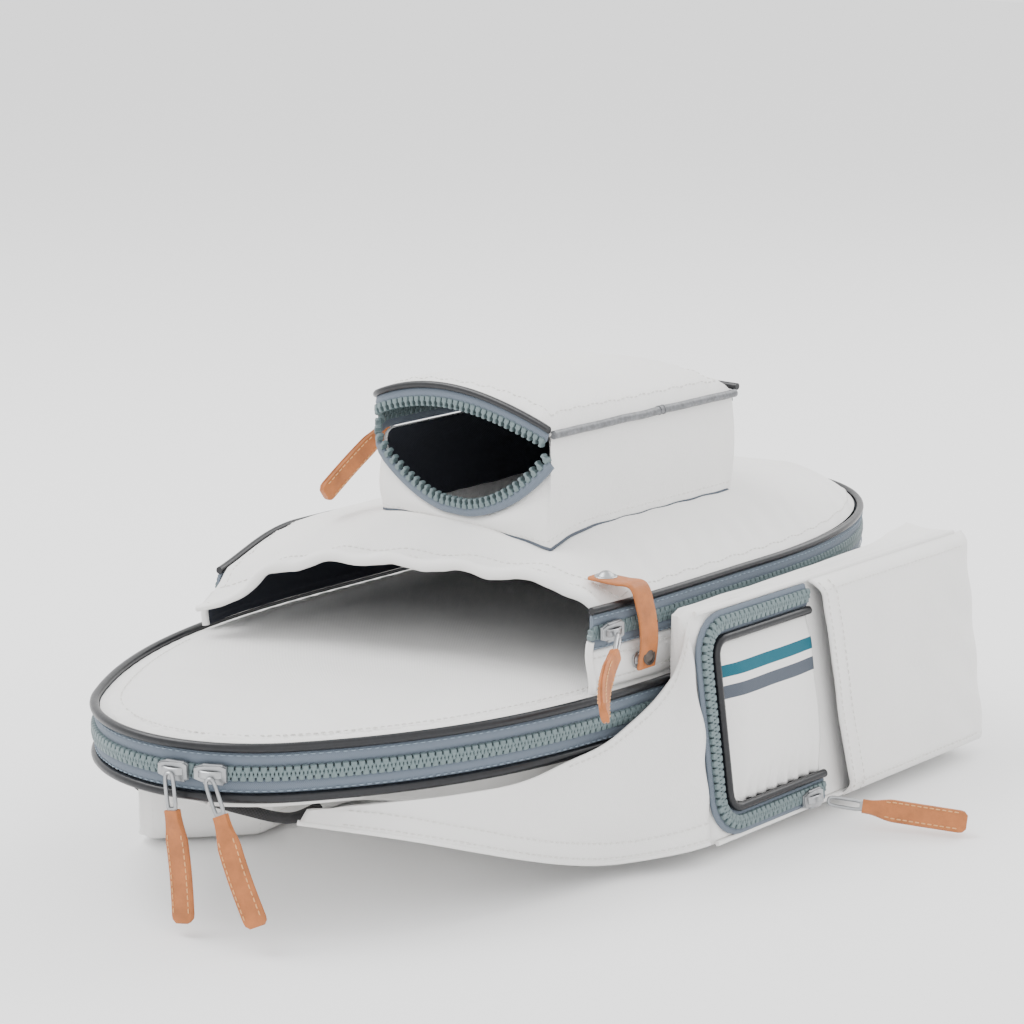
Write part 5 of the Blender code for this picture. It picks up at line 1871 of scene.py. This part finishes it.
def make_sliders():
    hangs = {"main_left": (0.13, -0.02, -0.99), "main_right": (0.45, -0.02, -0.89)}
    for name, angle, bend in (("main_left", 15.0, -0.0016), ("main_right", 27.5, 0.0022)):
        turn = math.radians(angle)
        out = Vector((math.sin(turn), -math.cos(turn), 0.0))
        along = Vector((math.cos(turn), math.sin(turn), 0.0))
        centre = Vector((0.0, NOSE_RADIUS, MAIN_SPLIT)) + out * (NOSE_RADIUS + 0.0013)
        make_slider(name, centre, along, out, hangs[name], bend)
    slider_y = GUSSET_RIGHT_Y + 0.010
    x = half_width(slider_y) - RACKET_INSET + 0.0026
    on_cover = (x, slider_y, RACKET_SPLIT)
    on_pouch = (POUCH_X[0] - 0.0026, POUCH_Y[0] + 0.036, POUCH_SPLIT)
    on_flap = face_point(FLAP_END - 0.014, SIDE_Z[0] + 0.0070, 0.0038)
    make_slider("racket", on_cover, (0, 1, 0), (1, 0, 0), (0.53, -0.80, -0.28), -0.0022)
    make_slider("pouch", on_pouch, (0, 1, 0), (-1, 0, 0), (-0.08, -0.82, -0.57), 0.0010)
    make_slider("side", on_flap, (0, 1, 0), FACE_OUT, (0.86, 0.49, -0.10), -0.0008)


def strap_strip(points, across, width, thick):
    """A leather ribbon with rounded edges."""
    shape = Shape()
    across = Vector(across).normalized()
    rows = []
    upper = [(-1, 0.3), (-0.93, 0.9), (-0.7, 1.0), (0, 1.0), (0.7, 1.0), (0.93, 0.9), (1, 0.3)]
    section = upper + [(-a, -b) for a, b in upper]
    for point, along in zip(points, tangents(points)):
        out = along.cross(across).normalized()
        rows.append([point + across * (a * width / 2) + out * (b * thick / 2) for a, b in section])
    return shape.grid(rows, around=True, caps=True)


def dome_snap(shape, place, radius, high):
    rings = [(1.0, 0.0), (1.02, 0.10), (0.96, 0.22), (0.80, 0.26), (0.76, 0.22)]
    rings += [(0.70, 0.30), (0.55, 0.62), (0.32, 0.88), (0.08, 1.0)]
    rows = []
    for share, level in rings:
        row = []
        for k in range(28):
            angle = 2 * math.pi * k / 28
            x, y = math.cos(angle) * radius * share, math.sin(angle) * radius * share
            row.append(place @ Vector((x, y, level * high)))
        rows.append(row)
    return shape.grid(rows, around=True, caps=True)


def make_snap_strap():
    snap_y = GUSSET_RIGHT_Y + 0.027
    snap_x = half_width(snap_y) - 0.0180
    level = 0.133913
    top = Vector((snap_x, snap_y, level))
    fold = Vector((snap_x + 0.0075, snap_y, level))
    edge = half_width(snap_y) - RACKET_INSET
    route = [
        top + Vector((-0.0080, 0, 0.0001)),
        top + Vector((0.0, 0, 0.0)),
        fold,
        Vector((edge + 0.0036, snap_y + 0.001, RACKET_SPLIT + 0.0182)),
        Vector((edge + 0.0072, snap_y + 0.002, RACKET_SPLIT + 0.0080)),
        Vector((edge + 0.0084, snap_y + 0.003, RACKET_SPLIT - 0.0020)),
        Vector((edge + 0.0078, snap_y + 0.004, RACKET_SPLIT - 0.0110)),
        Vector((edge + 0.0062, snap_y + 0.004, RACKET_SPLIT - 0.0212)),
    ]
    points = smooth_curve(route, 0.0012)
    strap = strap_strip(points, (0, 1, 0), 0.0125, 0.0019)
    piece = put("snap_leather", strap, leather, None, ["snap_tab", "snap_strap"], 50.0)
    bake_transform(piece)
    cap = dome_snap(Shape(), Matrix.Translation(top + Vector((-0.0020, 0, 0.0008))), 0.0054, 0.0030)
    put("snap_dome", cap, metal, "cover", ["snap_cap"], 60.0)
    low = points[-6]
    turn = place_matrix(low + Vector((0.0008, 0, 0)), (0, 1, 0), (1, 0, 0.12))
    button = dome_snap(Shape(), turn, 0.0044, 0.0022)
    put("snap_button", button, dark_metal, "snap", (), 60.0)
    spot = Matrix.Translation((edge + 0.0018, snap_y + 0.0035, RACKET_SPLIT - 0.0180))
    stud = dome_snap(Shape(), spot @ Matrix.Rotation(math.radians(90.0), 4, "Y"), 0.0042, 0.0028)
    put("snap_post", stud, metal, "front", ["snap_stud"], 60.0)


def shift(point):
    return tuple(Vector(point) - MIDDLE)


# ---------------------------------------------------------------- stage


def make_stage():
    """A pale floor, an even white sky and three soft lamps."""
    mesh = bpy.data.meshes.new("floor")
    half = FLOOR_HALF
    corners = [(-half, -half, 0), (half, -half, 0), (half, half, 0), (-half, half, 0)]
    mesh.from_pydata(corners, [], [(0, 1, 2, 3)])
    floor = bpy.data.objects.new("floor", mesh)
    floor.location.z = -0.0002
    mesh.materials.append(Look("floor_white", (0.93, 0.93, 0.93), 0.9).material)
    bpy.context.scene.collection.objects.link(floor)

    world = bpy.data.worlds.new("studio")
    world.use_nodes = True
    background = world.node_tree.nodes["Background"]
    background.inputs["Color"].default_value = (1.0, 1.0, 1.0, 1.0)
    background.inputs["Strength"].default_value = SKY_STRENGTH
    bpy.context.scene.world = world

    for name, place, aim, size, power in LAMPS:
        light = bpy.data.lights.new(name, "AREA")
        light.size = size
        light.energy = power
        lamp = bpy.data.objects.new(name, light)
        lamp.location = place
        lamp.rotation_euler = (Vector(aim) - Vector(place)).to_track_quat("-Z", "Y").to_euler()
        bpy.context.scene.collection.objects.link(lamp)


def make_camera():
    data = bpy.data.cameras.new("camera")
    data.lens = CAMERA_LENS
    data.sensor_width = CAMERA_SENSOR
    camera = bpy.data.objects.new("camera", data)
    camera.location = CAMERA_PLACE - MIDDLE
    camera.rotation_euler = (math.radians(CAMERA_TILT), 0.0, math.radians(CAMERA_TURN))
    bpy.context.scene.collection.objects.link(camera)
    bpy.context.scene.camera = camera


make_camera()
make_stage()
make_shell()
make_back_panel()
make_straps()
make_haul_loop()
make_main_zipper("lower", "bag")
make_main_zipper("upper", "front")
make_hinge_gusset()
make_front_panel()
make_racket_gusset()
make_gusset_ends()
make_racket_zipper()
make_cover()
make_pouch_walls()
make_pouch_zipper()
make_lid()
make_side_pocket()
make_side_zipper()
make_flap()
make_sleeve()
make_wing()
make_sliders()
make_snap_strap()
